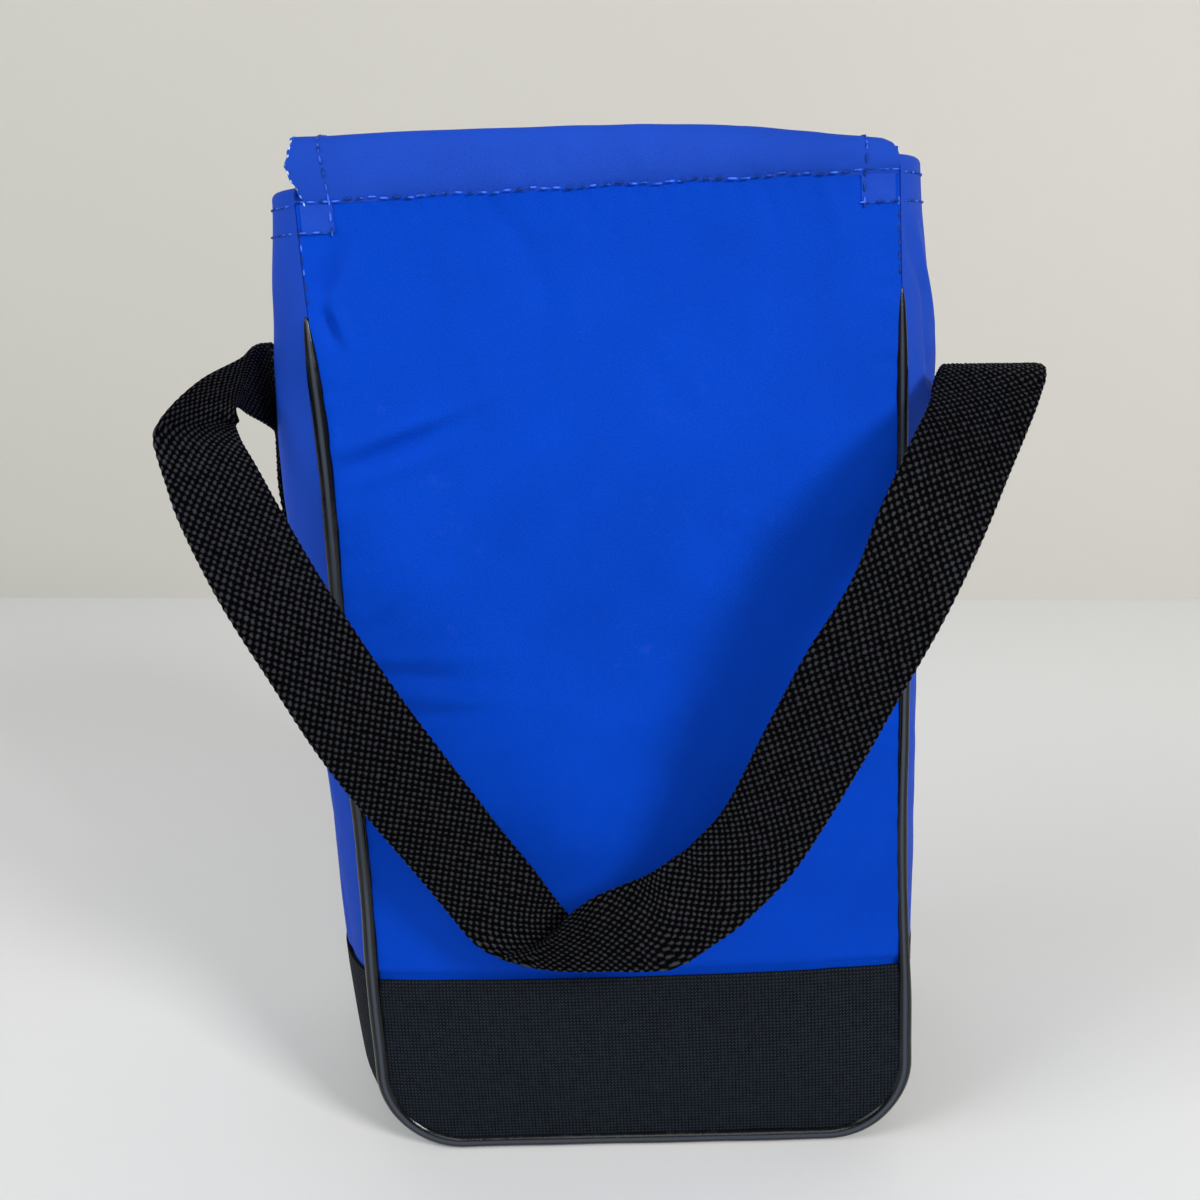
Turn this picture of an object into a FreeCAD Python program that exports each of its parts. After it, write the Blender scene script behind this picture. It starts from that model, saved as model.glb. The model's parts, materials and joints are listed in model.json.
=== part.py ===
"""Soft insulated lunch bag with a fold-over flap and a webbing carry strap.

Millimetres, +Z up, origin at the centre of the flat base. The back panel, which runs on
into the flap, faces -Y. The flap closes on the front panel, which faces +Y.
"""

import FreeCAD, Part

import math
import os

V = FreeCAD.Vector
X_AXIS = V(1, 0, 0)
Y_AXIS = V(0, 1, 0)
Z_AXIS = V(0, 0, 1)

# Body of the bag
panel_width = 152.0  # between the centres of the two piped side seams
base_depth = 96.0  # between the outer panel faces at the floor
mouth_depth = 64.0  # the same at the mouth
mouth_height = 270.0  # top edge of the gussets and of the front panel
corner_radius = 23.0  # lower corners of the side seams
band_height = 56.0  # seam between the dark base band and the upper cloth

# How far the side gussets puff out halfway between the panels
bulge_mouth = 9.0
bulge_middle = 13.0
bulge_foot = 6.0

# Layers of the wall
shell_thickness = 0.8
foam_thickness = 4.0
lining_thickness = 0.4
layer_gap = 0.1
board_thickness = 1.2
board_margin = 3.0  # from the board's edge to where the base starts to curve up
sole_margin = 2.0  # from the flat sole's edge to the gusset's edge
foam_split = 26.0  # height where the base foam and lining meet those of the sides

# Piped seams
piping_radius = 2.1
piping_sink = 0.6  # from the panel's face in to the piping's centre
piping_top = 241.0
piping_taper = 16.0
piping_tip_radius = 0.6
binding_width = 8.0
binding_thickness = 2.0

# Flap and its closure
flap_height = 285.0
flap_foam_thickness = 2.5
flap_drop = 72.0
flap_corner_radius = 12.0
fold_gap = 0.4  # between the two plates that meet at a fold
tape_length = 100.0
tape_width = 25.0
tape_thickness = 1.2
tape_gap = 0.3  # between the hooks and the loops when shut
tape_margin = 8.0  # from the flap's lower edge up to the hook tape

# Carry strap: one length of webbing
web_width = 25.4
web_thickness = 1.4
sewn_y = 3.0  # middle of the webbing where it is sewn to the gussets
sewn_low = 134.0
sewn_high = 170.0
stitch_inset = 3.0
thread_size = 0.7
hinge_y = -40.5  # the strap swings about this line along X
hinge_z = 213.5
hinge_gap = 0.9  # from the hinge line to the webbing on each side of it
hinge_stretch = 1.05  # of the webbing's width along the hinge line, which it crosses aslant
hinge_reach_left = 32.0  # from the seam line out to the strap's centre
hinge_reach_right = 22.0
fold_radius = 2.0  # of the webbing's centre where it folds over

# Route of the hanging strap, from the left hinge round the fold at its lowest point to the
# right hinge. Each point has the side it is on, its share of the way out to that side's
# hinge, the drop below the hinge line, how far it stands off the back panel, the turn of the
# webbing's width up from +X, its yaw towards +Y, and its width as a multiple of the
# webbing's, which is above one where the section is cut on a slant, along the fold.
strap_route = [
    ("left", 0.965, 7.0, 12.5, 6.0, 26.0, 1.0),
    ("left", 0.89, 19.0, 22.0, 12.0, 34.0, 1.0),
    ("left", 0.80, 34.0, 28.5, 20.0, 32.0, 1.0),
    ("left", 0.71, 52.0, 30.5, 26.0, 26.0, 1.0),
    ("left", 0.61, 72.0, 28.5, 30.0, 20.0, 1.0),
    ("left", 0.51, 92.5, 23.5, 33.0, 14.0, 1.0),
    ("left", 0.40, 113.0, 18.0, 36.0, 8.0, 1.0),
    ("left", 0.325, 126.0, 14.5, 38.0, 4.0, 1.0),
    ("left", 0.165, 144.0, 12.0, -6.0, 0.0, 1.55),
    ("left", 0.160, 147.0, 15.0, -6.0, 0.0, 1.55),
    ("left", 0.155, 144.0, 18.2, -6.0, 0.0, 1.55),
    ("left", 0.023, 135.0, 17.8, -60.0, 0.0, 1.0),
    ("right", 0.25, 123.0, 19.5, -57.0, 0.0, 1.0),
    ("right", 0.36, 107.0, 23.5, -45.0, 0.0, 1.0),
    ("right", 0.465, 83.0, 30.0, -33.0, 0.0, 1.0),
    ("right", 0.57, 62.0, 34.5, -30.0, 0.0, 1.0),
    ("right", 0.67, 43.0, 36.5, -26.0, 0.0, 1.0),
    ("right", 0.76, 26.0, 35.0, -25.0, -4.0, 1.0),
    ("right", 0.845, 12.5, 28.0, -20.0, -8.0, 1.0),
    ("right", 0.93, 3.5, 15.5, -10.0, -6.0, 1.0),
]

# Sizes that follow from those above
half_width = panel_width / 2
side_slope = (base_depth - mouth_depth) / 2 / mouth_height
lean = math.atan(side_slope)
foam_start = shell_thickness + layer_gap
foam_end = foam_start + foam_thickness
lining_start = foam_end + layer_gap
lining_end = lining_start + lining_thickness
flap_foam_start = shell_thickness + layer_gap
flap_foam_end = flap_foam_start + flap_foam_thickness
flap_stack = flap_foam_end + layer_gap + lining_thickness
loop_out = layer_gap + tape_thickness
hook_in = loop_out + tape_gap
flap_lining_in = hook_in + tape_thickness + layer_gap
flap_out = flap_lining_in + flap_stack
riser_height = flap_height - flap_stack - fold_gap
panel_inset = piping_radius + layer_gap
panel_foot = piping_radius + layer_gap + panel_inset
gusset_start = piping_sink + piping_radius + layer_gap


def half_depth(z):
    """Distance from the middle of the bag to a panel's outer face at height z."""
    return base_depth / 2 - side_slope * z


def save(name, shape):
    """Write one sub-part, with a line on how many solids it has."""
    assert shape.isValid(), name
    shape.exportStep("parts/" + name + ".step")
    print("%-22s %d solid %9.1f mm3" % (name, len(shape.Solids), shape.Volume))


def box(low, high):
    """Box between two corners given as tuples."""
    size = [b - a for a, b in zip(low, high)]
    return Part.makeBox(size[0], size[1], size[2], V(*low))


# ---------------------------------------------------------------- panels


def u_outline(inset, low, high):
    """Closed face in XZ: straight sides, rounded lower corners, inset from the seam line."""
    side = half_width - inset
    radius = corner_radius - inset
    drop = radius * (1 - math.sqrt(0.5))
    left = Part.LineSegment(V(-side, 0, high), V(-side, 0, low + radius))
    left_arc = Part.Arc(
        V(-side, 0, low + radius), V(-side + drop, 0, low + drop), V(-side + radius, 0, low)
    )
    bottom = Part.LineSegment(V(-side + radius, 0, low), V(side - radius, 0, low))
    right_arc = Part.Arc(
        V(side - radius, 0, low), V(side - drop, 0, low + drop), V(side, 0, low + radius)
    )
    right = Part.LineSegment(V(side, 0, low + radius), V(side, 0, high))
    top = Part.LineSegment(V(side, 0, high), V(-side, 0, high))
    edges = [piece.toShape() for piece in (left, left_arc, bottom, right_arc, right, top)]
    return Part.Face(Part.Wire(edges))


def plain_outline(side, low, high):
    """Closed rectangular face in XZ."""
    corners = [V(-side, 0, low), V(side, 0, low), V(side, 0, high), V(-side, 0, high)]
    return Part.Face(Part.makePolygon(corners + corners[:1]))


def leaned(shape):
    """Carry a shape from the upright XZ plane to the leaning back panel."""
    placed = shape.copy()
    placed.rotate(V(0, 0, 0), X_AXIS, -math.degrees(lean))
    placed.translate(V(0, -base_depth / 2, 0))
    return placed


def plate(outline, start, end):
    """Back-panel plate from one depth below the panel's face to another."""
    moved = outline.copy()
    moved.translate(V(0, start, 0))
    return leaned(moved.extrude(V(0, end - start, 0)))


def to_front(shape):
    """Mirror a back-panel shape to the front panel."""
    return shape.mirror(V(0, 0, 0), Y_AXIS)


def make_panels():
    """Outer cloth of the two big panels, each a base band and an upper part."""
    band = u_outline(panel_inset, panel_foot, band_height)
    side = half_width - panel_inset
    back_upper = plain_outline(side, band_height + layer_gap, riser_height)
    front_upper = plain_outline(side, band_height + layer_gap, mouth_height)
    save("back_panel_base", plate(band, 0, shell_thickness))
    save("back_panel_upper", plate(back_upper, 0, shell_thickness))
    save("front_panel_base", to_front(plate(band, 0, shell_thickness)))
    save("front_panel_upper", to_front(plate(front_upper, 0, shell_thickness)))


def make_panel_padding():
    """Foam and lining behind the two panels."""
    lining_foot = panel_foot + foam_end
    for name, top in (("back", riser_height), ("front", mouth_height)):
        foam = plate(u_outline(panel_inset, panel_foot, top), foam_start, foam_end)
        lining = plate(u_outline(panel_inset, lining_foot, top), lining_start, lining_end)
        if name == "front":
            foam = to_front(foam)
            lining = to_front(lining)
        save(name + "_foam", foam)
        save(name + "_lining", lining)


def make_bindings():
    """Tape that binds the raw seam edges, lying flat on the panel linings."""
    outer = lining_end + layer_gap
    inner = outer + binding_width
    start = lining_end + layer_gap
    foot = panel_foot + foam_end
    ring = u_outline(outer, foot, mouth_height)
    ring = ring.cut(u_outline(inner, foot + binding_width, mouth_height + binding_width))
    back = plate(ring, start, start + binding_thickness)
    save("back_seam_binding", back)
    save("front_seam_binding", to_front(back))


# ---------------------------------------------------------------- gussets


def bulged_wire(inset):
    """Section of the gusset halfway between the panels, at an inset from its outside."""
    top = mouth_height + corner_radius
    side = half_width - inset
    radius = corner_radius - inset
    shoulder = inset + radius
    middle = (top + shoulder) / 2
    corner_x = side - radius + (radius + bulge_foot) * math.sqrt(0.5)
    corner_z = shoulder - radius * math.sqrt(0.5)
    edges = []
    wall = Part.Arc(
        V(-side - bulge_mouth, 0, top),
        V(-side - bulge_middle, 0, middle),
        V(-side - bulge_foot, 0, shoulder),
    )
    turn = Part.Arc(
        V(-side - bulge_foot, 0, shoulder), V(-corner_x, 0, corner_z), V(-side + radius, 0, inset)
    )
    floor = Part.LineSegment(V(-side + radius, 0, inset), V(side - radius, 0, inset))
    turn_back = Part.Arc(
        V(side - radius, 0, inset), V(corner_x, 0, corner_z), V(side + bulge_foot, 0, shoulder)
    )
    wall_back = Part.Arc(
        V(side + bulge_foot, 0, shoulder),
        V(side + bulge_middle, 0, middle),
        V(side + bulge_mouth, 0, top),
    )
    lid = Part.LineSegment(V(side + bulge_mouth, 0, top), V(-side - bulge_mouth, 0, top))
    for piece in (wall, turn, floor, turn_back, wall_back, lid):
        edges.append(piece.toShape())
    return Part.Wire(edges)


def filled(inset):
    """Solid whose sides and floor follow the gusset, at an inset from its outside."""
    flat = u_outline(inset, inset, mouth_height + corner_radius).OuterWire
    back = leaned(flat)
    front = to_front(back)
    return Part.makeLoft([back, bulged_wire(inset), front], True, False)


def slab(inset):
    """Space between the two leaning panels, inset from their faces, up to the mouth."""
    shift = inset / math.cos(lean)
    low = -corner_radius
    reach_low = half_depth(low) - shift
    reach_high = half_depth(mouth_height) - shift
    far = 2 * panel_width
    corners = [
        V(-far, -reach_low, low),
        V(-far, reach_low, low),
        V(-far, reach_high, mouth_height),
        V(-far, -reach_high, mouth_height),
    ]
    face = Part.Face(Part.makePolygon(corners + corners[:1]))
    return face.extrude(V(2 * far, 0, 0))


def gusset_layer(outer, inner, start):
    """One layer of the gusset strip, whole, from the left mouth round to the right."""
    return filled(outer).cut(filled(inner)).common(slab(start))


def split_layer(layer, height):
    """Left side, right side and base of a gusset layer, parted at a height."""
    far = 2 * panel_width
    above = height + layer_gap
    left = layer.common(box((-far, -far, above), (0, far, 2 * far)))
    right = layer.common(box((0, -far, above), (far, far, 2 * far)))
    base = layer.common(box((-far, -far, -far), (far, far, height)))
    return left, right, base


def flat_soled(base):
    """The base with an exactly flat sole set into it, which the bag stands on."""
    sole_x = half_width - corner_radius
    sole_y = half_depth(0) - gusset_start - sole_margin
    room = box((-sole_x, -sole_y, -shell_thickness), (sole_x, sole_y, 2 * shell_thickness))
    sole = box((-sole_x, -sole_y, 0), (sole_x, sole_y, shell_thickness))
    return base.cut(room).fuse(sole)


def make_gussets():
    """Outer cloth, foam, stiffening board and lining of the sides and base."""
    shell = gusset_layer(0, shell_thickness, gusset_start)
    left, right, base = split_layer(shell, band_height)
    save("side_gusset_left", left)
    save("side_gusset_right", right)
    save("base_gusset", flat_soled(base))

    board_low = foam_start
    board_high = board_low + board_thickness
    board_x = half_width - corner_radius - board_margin
    board_y = half_depth(board_high) - lining_start - board_margin
    board = box((-board_x, -board_y, board_low), (board_x, board_y, board_high))
    pocket = box(
        (-board_x - layer_gap, -board_y - layer_gap, 0),
        (board_x + layer_gap, board_y + layer_gap, board_high + layer_gap),
    )
    save("base_board", board)

    foam = gusset_layer(foam_start, foam_end, lining_end + layer_gap)
    left, right, base = split_layer(foam, foam_split)
    save("side_foam_left", left)
    save("side_foam_right", right)
    save("base_foam", base.cut(pocket))

    lining = gusset_layer(lining_start, lining_end, lining_end + layer_gap)
    left, right, base = split_layer(lining, foam_split)
    save("side_lining_left", left)
    save("side_lining_right", right)
    save("base_lining", base)


# ---------------------------------------------------------------- piping


def make_piping():
    """Round piping in each panel's seam, tapering away at its two upper ends."""
    low = piping_radius + layer_gap
    straight_top = piping_top - piping_taper
    drop = corner_radius * (1 - math.sqrt(0.5))
    path = Part.Wire(
        [
            Part.LineSegment(
                V(-half_width, 0, straight_top), V(-half_width, 0, low + corner_radius)
            ).toShape(),
            Part.Arc(
                V(-half_width, 0, low + corner_radius),
                V(-half_width + drop, 0, low + drop),
                V(-half_width + corner_radius, 0, low),
            ).toShape(),
            Part.LineSegment(
                V(-half_width + corner_radius, 0, low), V(half_width - corner_radius, 0, low)
            ).toShape(),
            Part.Arc(
                V(half_width - corner_radius, 0, low),
                V(half_width - drop, 0, low + drop),
                V(half_width, 0, low + corner_radius),
            ).toShape(),
            Part.LineSegment(
                V(half_width, 0, low + corner_radius), V(half_width, 0, straight_top)
            ).toShape(),
        ]
    )
    circle = Part.Wire([Part.makeCircle(piping_radius, V(-half_width, 0, straight_top), Z_AXIS)])
    bead = path.makePipeShell([circle], True, False)
    for x in (-half_width, half_width):
        tip = Part.makeCone(piping_radius, piping_tip_radius, piping_taper, V(x, 0, straight_top))
        bead = bead.fuse(tip)
    bead.translate(V(0, piping_sink, 0))
    back = leaned(bead.removeSplitter())
    save("back_piping", back)
    save("front_piping", to_front(back))


# ---------------------------------------------------------------- flap


def make_flap_top():
    """Roof of the flap, from the back fold to the front fold."""
    rear = -half_depth(flap_height)
    front = -rear + flap_out / math.cos(lean)
    layers = {
        "flap_top_shell": (0, shell_thickness),
        "flap_top_foam": (flap_foam_start, flap_foam_end),
        "flap_top_lining": (flap_foam_end + layer_gap, flap_stack),
    }
    for name, (upper, lower) in layers.items():
        low = (-half_width, rear, flap_height - lower)
        high = (half_width, front, flap_height - upper)
        save(name, box(low, high))


def flap_outline():
    """Drop of the flap, with two rounded lower corners."""
    low = flap_height - flap_drop
    side = half_width
    whole = plain_outline(side, low, riser_height)
    solid = whole.extrude(V(0, 1, 0))
    lower_corners = [
        edge
        for edge in solid.Edges
        if abs(edge.CenterOfMass.z - low) < 1e-6 and abs(abs(edge.CenterOfMass.x) - side) < 1e-6
    ]
    rounded = solid.makeFillet(flap_corner_radius, lower_corners)
    return [face for face in rounded.Faces if abs(face.CenterOfMass.y) < 1e-6][0]


def make_flap_front():
    """Part of the flap that hangs down over the front panel, with its hook tape."""
    outline = flap_outline()
    layers = {
        "flap_front_shell": (-flap_out, -flap_out + shell_thickness),
        "flap_front_foam": (-flap_out + flap_foam_start, -flap_out + flap_foam_end),
        "flap_front_lining": (-flap_out + flap_foam_end + layer_gap, -flap_lining_in),
    }
    for name, (start, end) in layers.items():
        save(name, to_front(plate(outline, start, end)))


def make_closure():
    """Hook tape on the flap and the loop tape that it presses on."""
    low = flap_height - flap_drop + tape_margin
    tape = plain_outline(tape_length / 2, low, low + tape_width)
    loops = plate(tape, -loop_out, -layer_gap)
    hooks = plate(tape, -hook_in - tape_thickness, -hook_in)
    save("loop_strip", to_front(loops))
    save("hook_strip", to_front(hooks))


# ---------------------------------------------------------------- strap


def web_section(centre, across, along, stretch):
    """Rectangular cross-section of webbing: its centre, width direction, run and stretch."""
    run = V(along).normalize()
    width = V(across).normalize()
    if stretch == 1.0:
        width = (width - run * width.dot(run)).normalize()
    normal = run.cross(width).normalize()
    half_w = width * (web_width * stretch / 2)
    half_t = normal * (web_thickness / 2)
    corners = [
        centre - half_w - half_t,
        centre + half_w - half_t,
        centre + half_w + half_t,
        centre - half_w + half_t,
    ]
    return Part.makePolygon(corners + corners[:1])


def web_solid(stations):
    """Webbing through stations of centre, width direction and stretch."""
    wires = []
    for i, (centre, across, stretch) in enumerate(stations):
        before = stations[max(i - 1, 0)][0]
        after = stations[min(i + 1, len(stations) - 1)][0]
        wires.append(web_section(centre, across, after - before, stretch))
    return Part.makeLoft(wires, True, True)


def hinge_x(side):
    """Strap's centre where it crosses the hinge line, on the left (-1) or right (+1)."""
    reach = hinge_reach_left if side < 0 else hinge_reach_right
    return side * (half_width + reach)


def side_face():
    """How far out the gusset's cloth lies at mid depth, halfway up the sewn end."""
    probe_z = (sewn_low + sewn_high) / 2
    probe = Part.makeLine(V(0, 0, probe_z), V(2 * panel_width, 0, probe_z))
    return max(vertex.X for vertex in filled(0).common(probe).Vertexes)


def folded(centre, across, stretch, bulge, side_step):
    """Three slanted sections that carry webbing over a fold, from one face to the other."""
    return [
        (centre - side_step * fold_radius, across, stretch),
        (centre + bulge * fold_radius, across, stretch),
        (centre + side_step * fold_radius, across, stretch),
    ]


def make_left_strap_end(face):
    """Webbing sewn to the left gusset: up, folded forward, then folded down to the strap."""
    sewn_x = -(face + 2 * layer_gap + web_thickness / 2)
    hinge = V(hinge_x(-1), hinge_y, hinge_z)
    forward = V(0, -1, 0)
    slant = math.sqrt(2)
    rear_fold = V(sewn_x - fold_radius, sewn_y, hinge_z + 6.5)
    front_fold = hinge + V(0.5, 16.0, 10.5)
    limb = V(24.5, 20.0, 18.5)
    limb_stretch = limb.Length / web_width
    stations = [
        (V(sewn_x, sewn_y, sewn_low), forward, 1.0),
        (V(sewn_x, sewn_y, hinge_z - 20.0), forward, 1.0),
    ]
    stations += folded(rear_fold, V(0, -1, 1), slant, V(0, 0.7, 0.7), V(-1, 0, 0))
    stations.append((rear_fold + V(-4.0, -13.0, 1.5), Z_AXIS, 1.0))
    stations += folded(front_fold, limb, limb_stretch, V(-0.3, -0.2, 0.9), V(0, -1, 0))
    stations.append((hinge + V(0, 0.8, 0.6) * hinge_gap, X_AXIS, hinge_stretch))
    save("strap_end_left", web_solid(stations))


def make_right_strap_end(face):
    """Webbing sewn to the right gusset, twisting as it rises and arching over forward."""
    sewn_x = face + 2 * layer_gap + web_thickness / 2
    hinge = V(hinge_x(1), hinge_y, hinge_z)
    rise = [
        (V(sewn_x - hinge.x, 43.5, -43.5), 90.0),
        (V(sewn_x - hinge.x + 0.8, 43.2, -35.5), 86.0),
        (V(-3.0, 41.0, -23.5), 68.0),
        (V(0.5, 35.5, -11.5), 42.0),
        (V(2.0, 28.5, -2.5), 18.0),
        (V(1.8, 20.5, 3.7), 5.0),
        (V(1.0, 13.0, 6.0), 0.0),
        (V(0.4, 6.0, 4.4), 0.0),
    ]
    stations = [(V(sewn_x, sewn_y, sewn_low), Y_AXIS, 1.0)]
    for offset, twist in rise:
        turn = math.radians(twist)
        stations.append((hinge + offset, V(math.cos(turn), math.sin(turn), 0), 1.0))
    stations.append((hinge + V(0, 0.8, 0.6) * hinge_gap, X_AXIS, hinge_stretch))
    save("strap_end_right", web_solid(stations))


def make_strap_stitching(side, name, face):
    """Box and cross of thread that holds one strap end to its gusset."""
    start = face + 3 * layer_gap + web_thickness
    low = sewn_low + stitch_inset
    high = sewn_high - stitch_inset
    reach = web_width / 2 - stitch_inset
    corners = [(-reach, low), (reach, low), (reach, high), (-reach, high)]
    runs = [(corners[i], corners[(i + 1) % 4]) for i in range(4)]
    runs += [(corners[0], corners[2]), (corners[1], corners[3])]
    thread = None
    for (y0, z0), (y1, z1) in runs:
        length = math.hypot(y1 - y0, z1 - z0)
        bar = Part.makeBox(thread_size / 2, thread_size, length + thread_size)
        bar.translate(V(0, -thread_size / 2, -thread_size / 2))
        bar.rotate(V(0, 0, 0), X_AXIS, -math.degrees(math.atan2(y1 - y0, z1 - z0)))
        bar.translate(V(start, sewn_y + y0, z0))
        thread = bar if thread is None else thread.fuse(bar)
    thread = thread.removeSplitter()
    if side < 0:
        thread = thread.mirror(V(0, 0, 0), X_AXIS)
    save(name, thread)


def strap_station(point):
    """Centre, width direction and stretch of one point of the strap's route."""
    side, share, drop, stand_off, turn, yaw, stretch = point
    x = share * hinge_x(-1 if side == "left" else 1)
    z = hinge_z - drop
    y = -half_depth(z) - stand_off
    up = math.radians(turn)
    back = math.radians(yaw)
    across = V(math.cos(up) * math.cos(back), math.sin(back), math.sin(up) * math.cos(back))
    return V(x, y, z), across, stretch


def make_carry_strap():
    """One length of webbing from hinge to hinge, hanging in front of the back panel."""
    start = V(0, -0.8, -0.6) * hinge_gap
    stations = [(V(hinge_x(-1), hinge_y, hinge_z) + start, X_AXIS, hinge_stretch)]
    stations += [strap_station(point) for point in strap_route]
    stations.append((V(hinge_x(1), hinge_y, hinge_z) + start, X_AXIS, hinge_stretch))
    save("carry_strap", web_solid(stations))


os.makedirs("parts", exist_ok=True)
make_panels()
make_panel_padding()
make_bindings()
make_gussets()
make_piping()
make_flap_top()
make_flap_front()
make_closure()
gusset_face = side_face()
make_left_strap_end(gusset_face)
make_right_strap_end(gusset_face)
make_strap_stitching(-1, "strap_stitching_left", gusset_face)
make_strap_stitching(1, "strap_stitching_right", gusset_face)
make_carry_strap()
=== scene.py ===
import json
import math

import bpy
import numpy as np
from mathutils import Matrix, Vector, noise


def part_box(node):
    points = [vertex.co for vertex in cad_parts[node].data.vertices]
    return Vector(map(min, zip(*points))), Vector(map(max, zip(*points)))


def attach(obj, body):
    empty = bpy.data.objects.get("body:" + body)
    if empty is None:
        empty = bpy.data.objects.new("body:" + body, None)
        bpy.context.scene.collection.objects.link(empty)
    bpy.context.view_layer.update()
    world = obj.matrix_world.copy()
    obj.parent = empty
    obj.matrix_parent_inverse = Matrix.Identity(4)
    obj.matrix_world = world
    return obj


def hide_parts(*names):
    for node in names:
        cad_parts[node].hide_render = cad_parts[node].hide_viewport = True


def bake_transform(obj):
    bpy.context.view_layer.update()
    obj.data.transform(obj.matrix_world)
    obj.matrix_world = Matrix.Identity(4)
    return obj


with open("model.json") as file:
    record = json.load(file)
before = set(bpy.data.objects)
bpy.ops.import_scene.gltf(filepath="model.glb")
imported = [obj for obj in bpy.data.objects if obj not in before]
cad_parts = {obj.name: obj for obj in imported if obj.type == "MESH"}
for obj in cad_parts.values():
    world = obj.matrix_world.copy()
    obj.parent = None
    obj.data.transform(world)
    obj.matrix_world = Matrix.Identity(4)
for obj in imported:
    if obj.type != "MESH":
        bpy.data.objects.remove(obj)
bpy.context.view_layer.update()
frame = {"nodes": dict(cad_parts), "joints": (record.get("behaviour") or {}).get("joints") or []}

bl_info = {
    "name": "Insulated Lunch Bag",
    "version": (1, 0, 0),
    "blender": (4, 5, 0),
    "location": "View3D > Sidebar > Lunch Bag",
    "description": "Sews an upright insulated lunch bag round its construction model",
    "category": "Object",
}

MM = 0.001
HINGE = {joint["name"]: Vector(joint["pos_m"]) for joint in frame["joints"]}
BAND_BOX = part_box("base_gusset")
FLAP_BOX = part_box("flap_top_shell")
BACK, FRONT = -1, 1
LEFT, RIGHT = -1, 1
WEB_CELLS = 23  # floats across the strap
WEB_STRETCH = 1.12  # length of a float, as a multiple of its width

TOP_LEAN = 1.25 * MM  # how far the mouth of the bag leans to the left
ROW_STEP = 1.2 * MM  # between the rows of points in cloth
HEM_ROLL = 3.2 * MM  # radius at which cloth turns over at the mouth
HEM_TAIL = 12 * MM  # how far the turned cloth hangs down inside
HEM_SQUARENESS = 0.6  # power that flattens the roll's top; 1 is a half circle
HEM_DEPTH = 7 * MM  # from a hem's edge to its stitching
SEAM_TUCK = 1.5 * MM  # how far the blue cloth runs down behind the base band
BAND_RELIEF = 0.25 * MM  # how far the base band stands out from the cloth above it
WALL_TOP = 0.262  # top of the padding and lining
WALL_SPLIT = 0.026  # height at which the sides' padding and lining meet the base's
BAG_HEART = (0, 0, 0.13)  # point inside the bag that its outer faces look away from
TAB_INNER, TAB_OUTER = 66.2, 74.6  # a hem tab's two edges, in millimetres from the middle
TAB_SEAM = 66.9 * MM  # the stitching at a hem tab's inner edge

# Folds pressed into the cloth, in millimetres and degrees: where the fold's middle is (across,
# up), its direction, half length, half width, and height, which is negative for a valley.
BACK_FOLDS = [
    (-69.6, 250.5, 58, 8.5, 2.4, -2.2),
    (-66.0, 249.0, 58, 8.5, 2.8, 1.4),
    (-70.4, 238.5, -76, 4.6, 1.8, -2.4),
    (-67.4, 239.0, -76, 6.0, 2.2, 1.4),
    (-55.0, 211.5, 16, 19.0, 2.3, 1.5),
    (-57.0, 206.8, 21, 18.0, 2.3, -2.1),
    (-58.0, 201.5, 16, 15.0, 2.4, 0.9),
    (-23.0, 262.0, -50, 9.0, 3.0, -0.55),
    (-17.0, 250.5, -68, 11.0, 3.2, -0.6),
    (-16.0, 235.0, -98, 14.0, 3.0, -0.55),
    (-21.5, 218.0, -112, 14.0, 3.2, -0.6),
    (-30.0, 203.0, -128, 11.0, 3.6, -0.5),
    (-32.0, 247.0, -88, 20.0, 3.4, -0.45),
    (-31.0, 222.0, -86, 20.0, 3.6, 0.4),
    (-4.0, 258.0, -102, 11.0, 2.6, 0.5),
    (-6.5, 230.0, -90, 24.0, 3.0, 0.4),
    (-5.5, 185.0, -88, 26.0, 3.4, 0.35),
    (-2.5, 262.0, -96, 7.0, 2.0, -0.45),
    (12.0, 224.0, -60, 9.0, 3.2, -0.4),
    (20.0, 214.0, -42, 8.0, 3.6, -0.4),
    (-65.0, 160.0, 44, 6.0, 2.2, -1.3),
    (-61.0, 150.5, 0, 22.0, 2.4, 0.9),
    (-58.0, 145.5, -4, 20.0, 2.2, -0.9),
    (-56.0, 139.5, -8, 19.0, 2.4, 0.7),
    (-55.0, 134.5, 2, 17.0, 2.2, -0.7),
    (-28.0, 121.0, 32, 26.0, 7.0, -0.8),
    (4.0, 131.0, 8, 24.0, 8.0, 0.9),
    (22.0, 134.0, -50, 16.0, 5.0, -0.5),
    (46.0, 226.0, -70, 30.0, 9.0, 0.5),
    (58.0, 120.0, 78, 30.0, 7.0, -0.5),
    (66.0, 96.0, 66, 16.0, 3.0, 0.6),
    (-40.0, 76.0, 12, 24.0, 6.0, 0.6),
    (20.0, 66.0, -4, 30.0, 4.0, -0.4),
    (44.0, 262.0, -84, 8.0, 2.2, -0.4),
    (60.0, 258.0, -76, 9.0, 2.4, 0.4),
]
BAND_FOLDS = [
    (-30.0, 30.0, 4, 40.0, 9.0, 0.5),
    (40.0, 22.0, -6, 34.0, 8.0, 0.5),
    (-58.0, 40.0, 70, 14.0, 4.0, -0.4),
    (60.0, 44.0, -66, 14.0, 4.0, -0.4),
]
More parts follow.
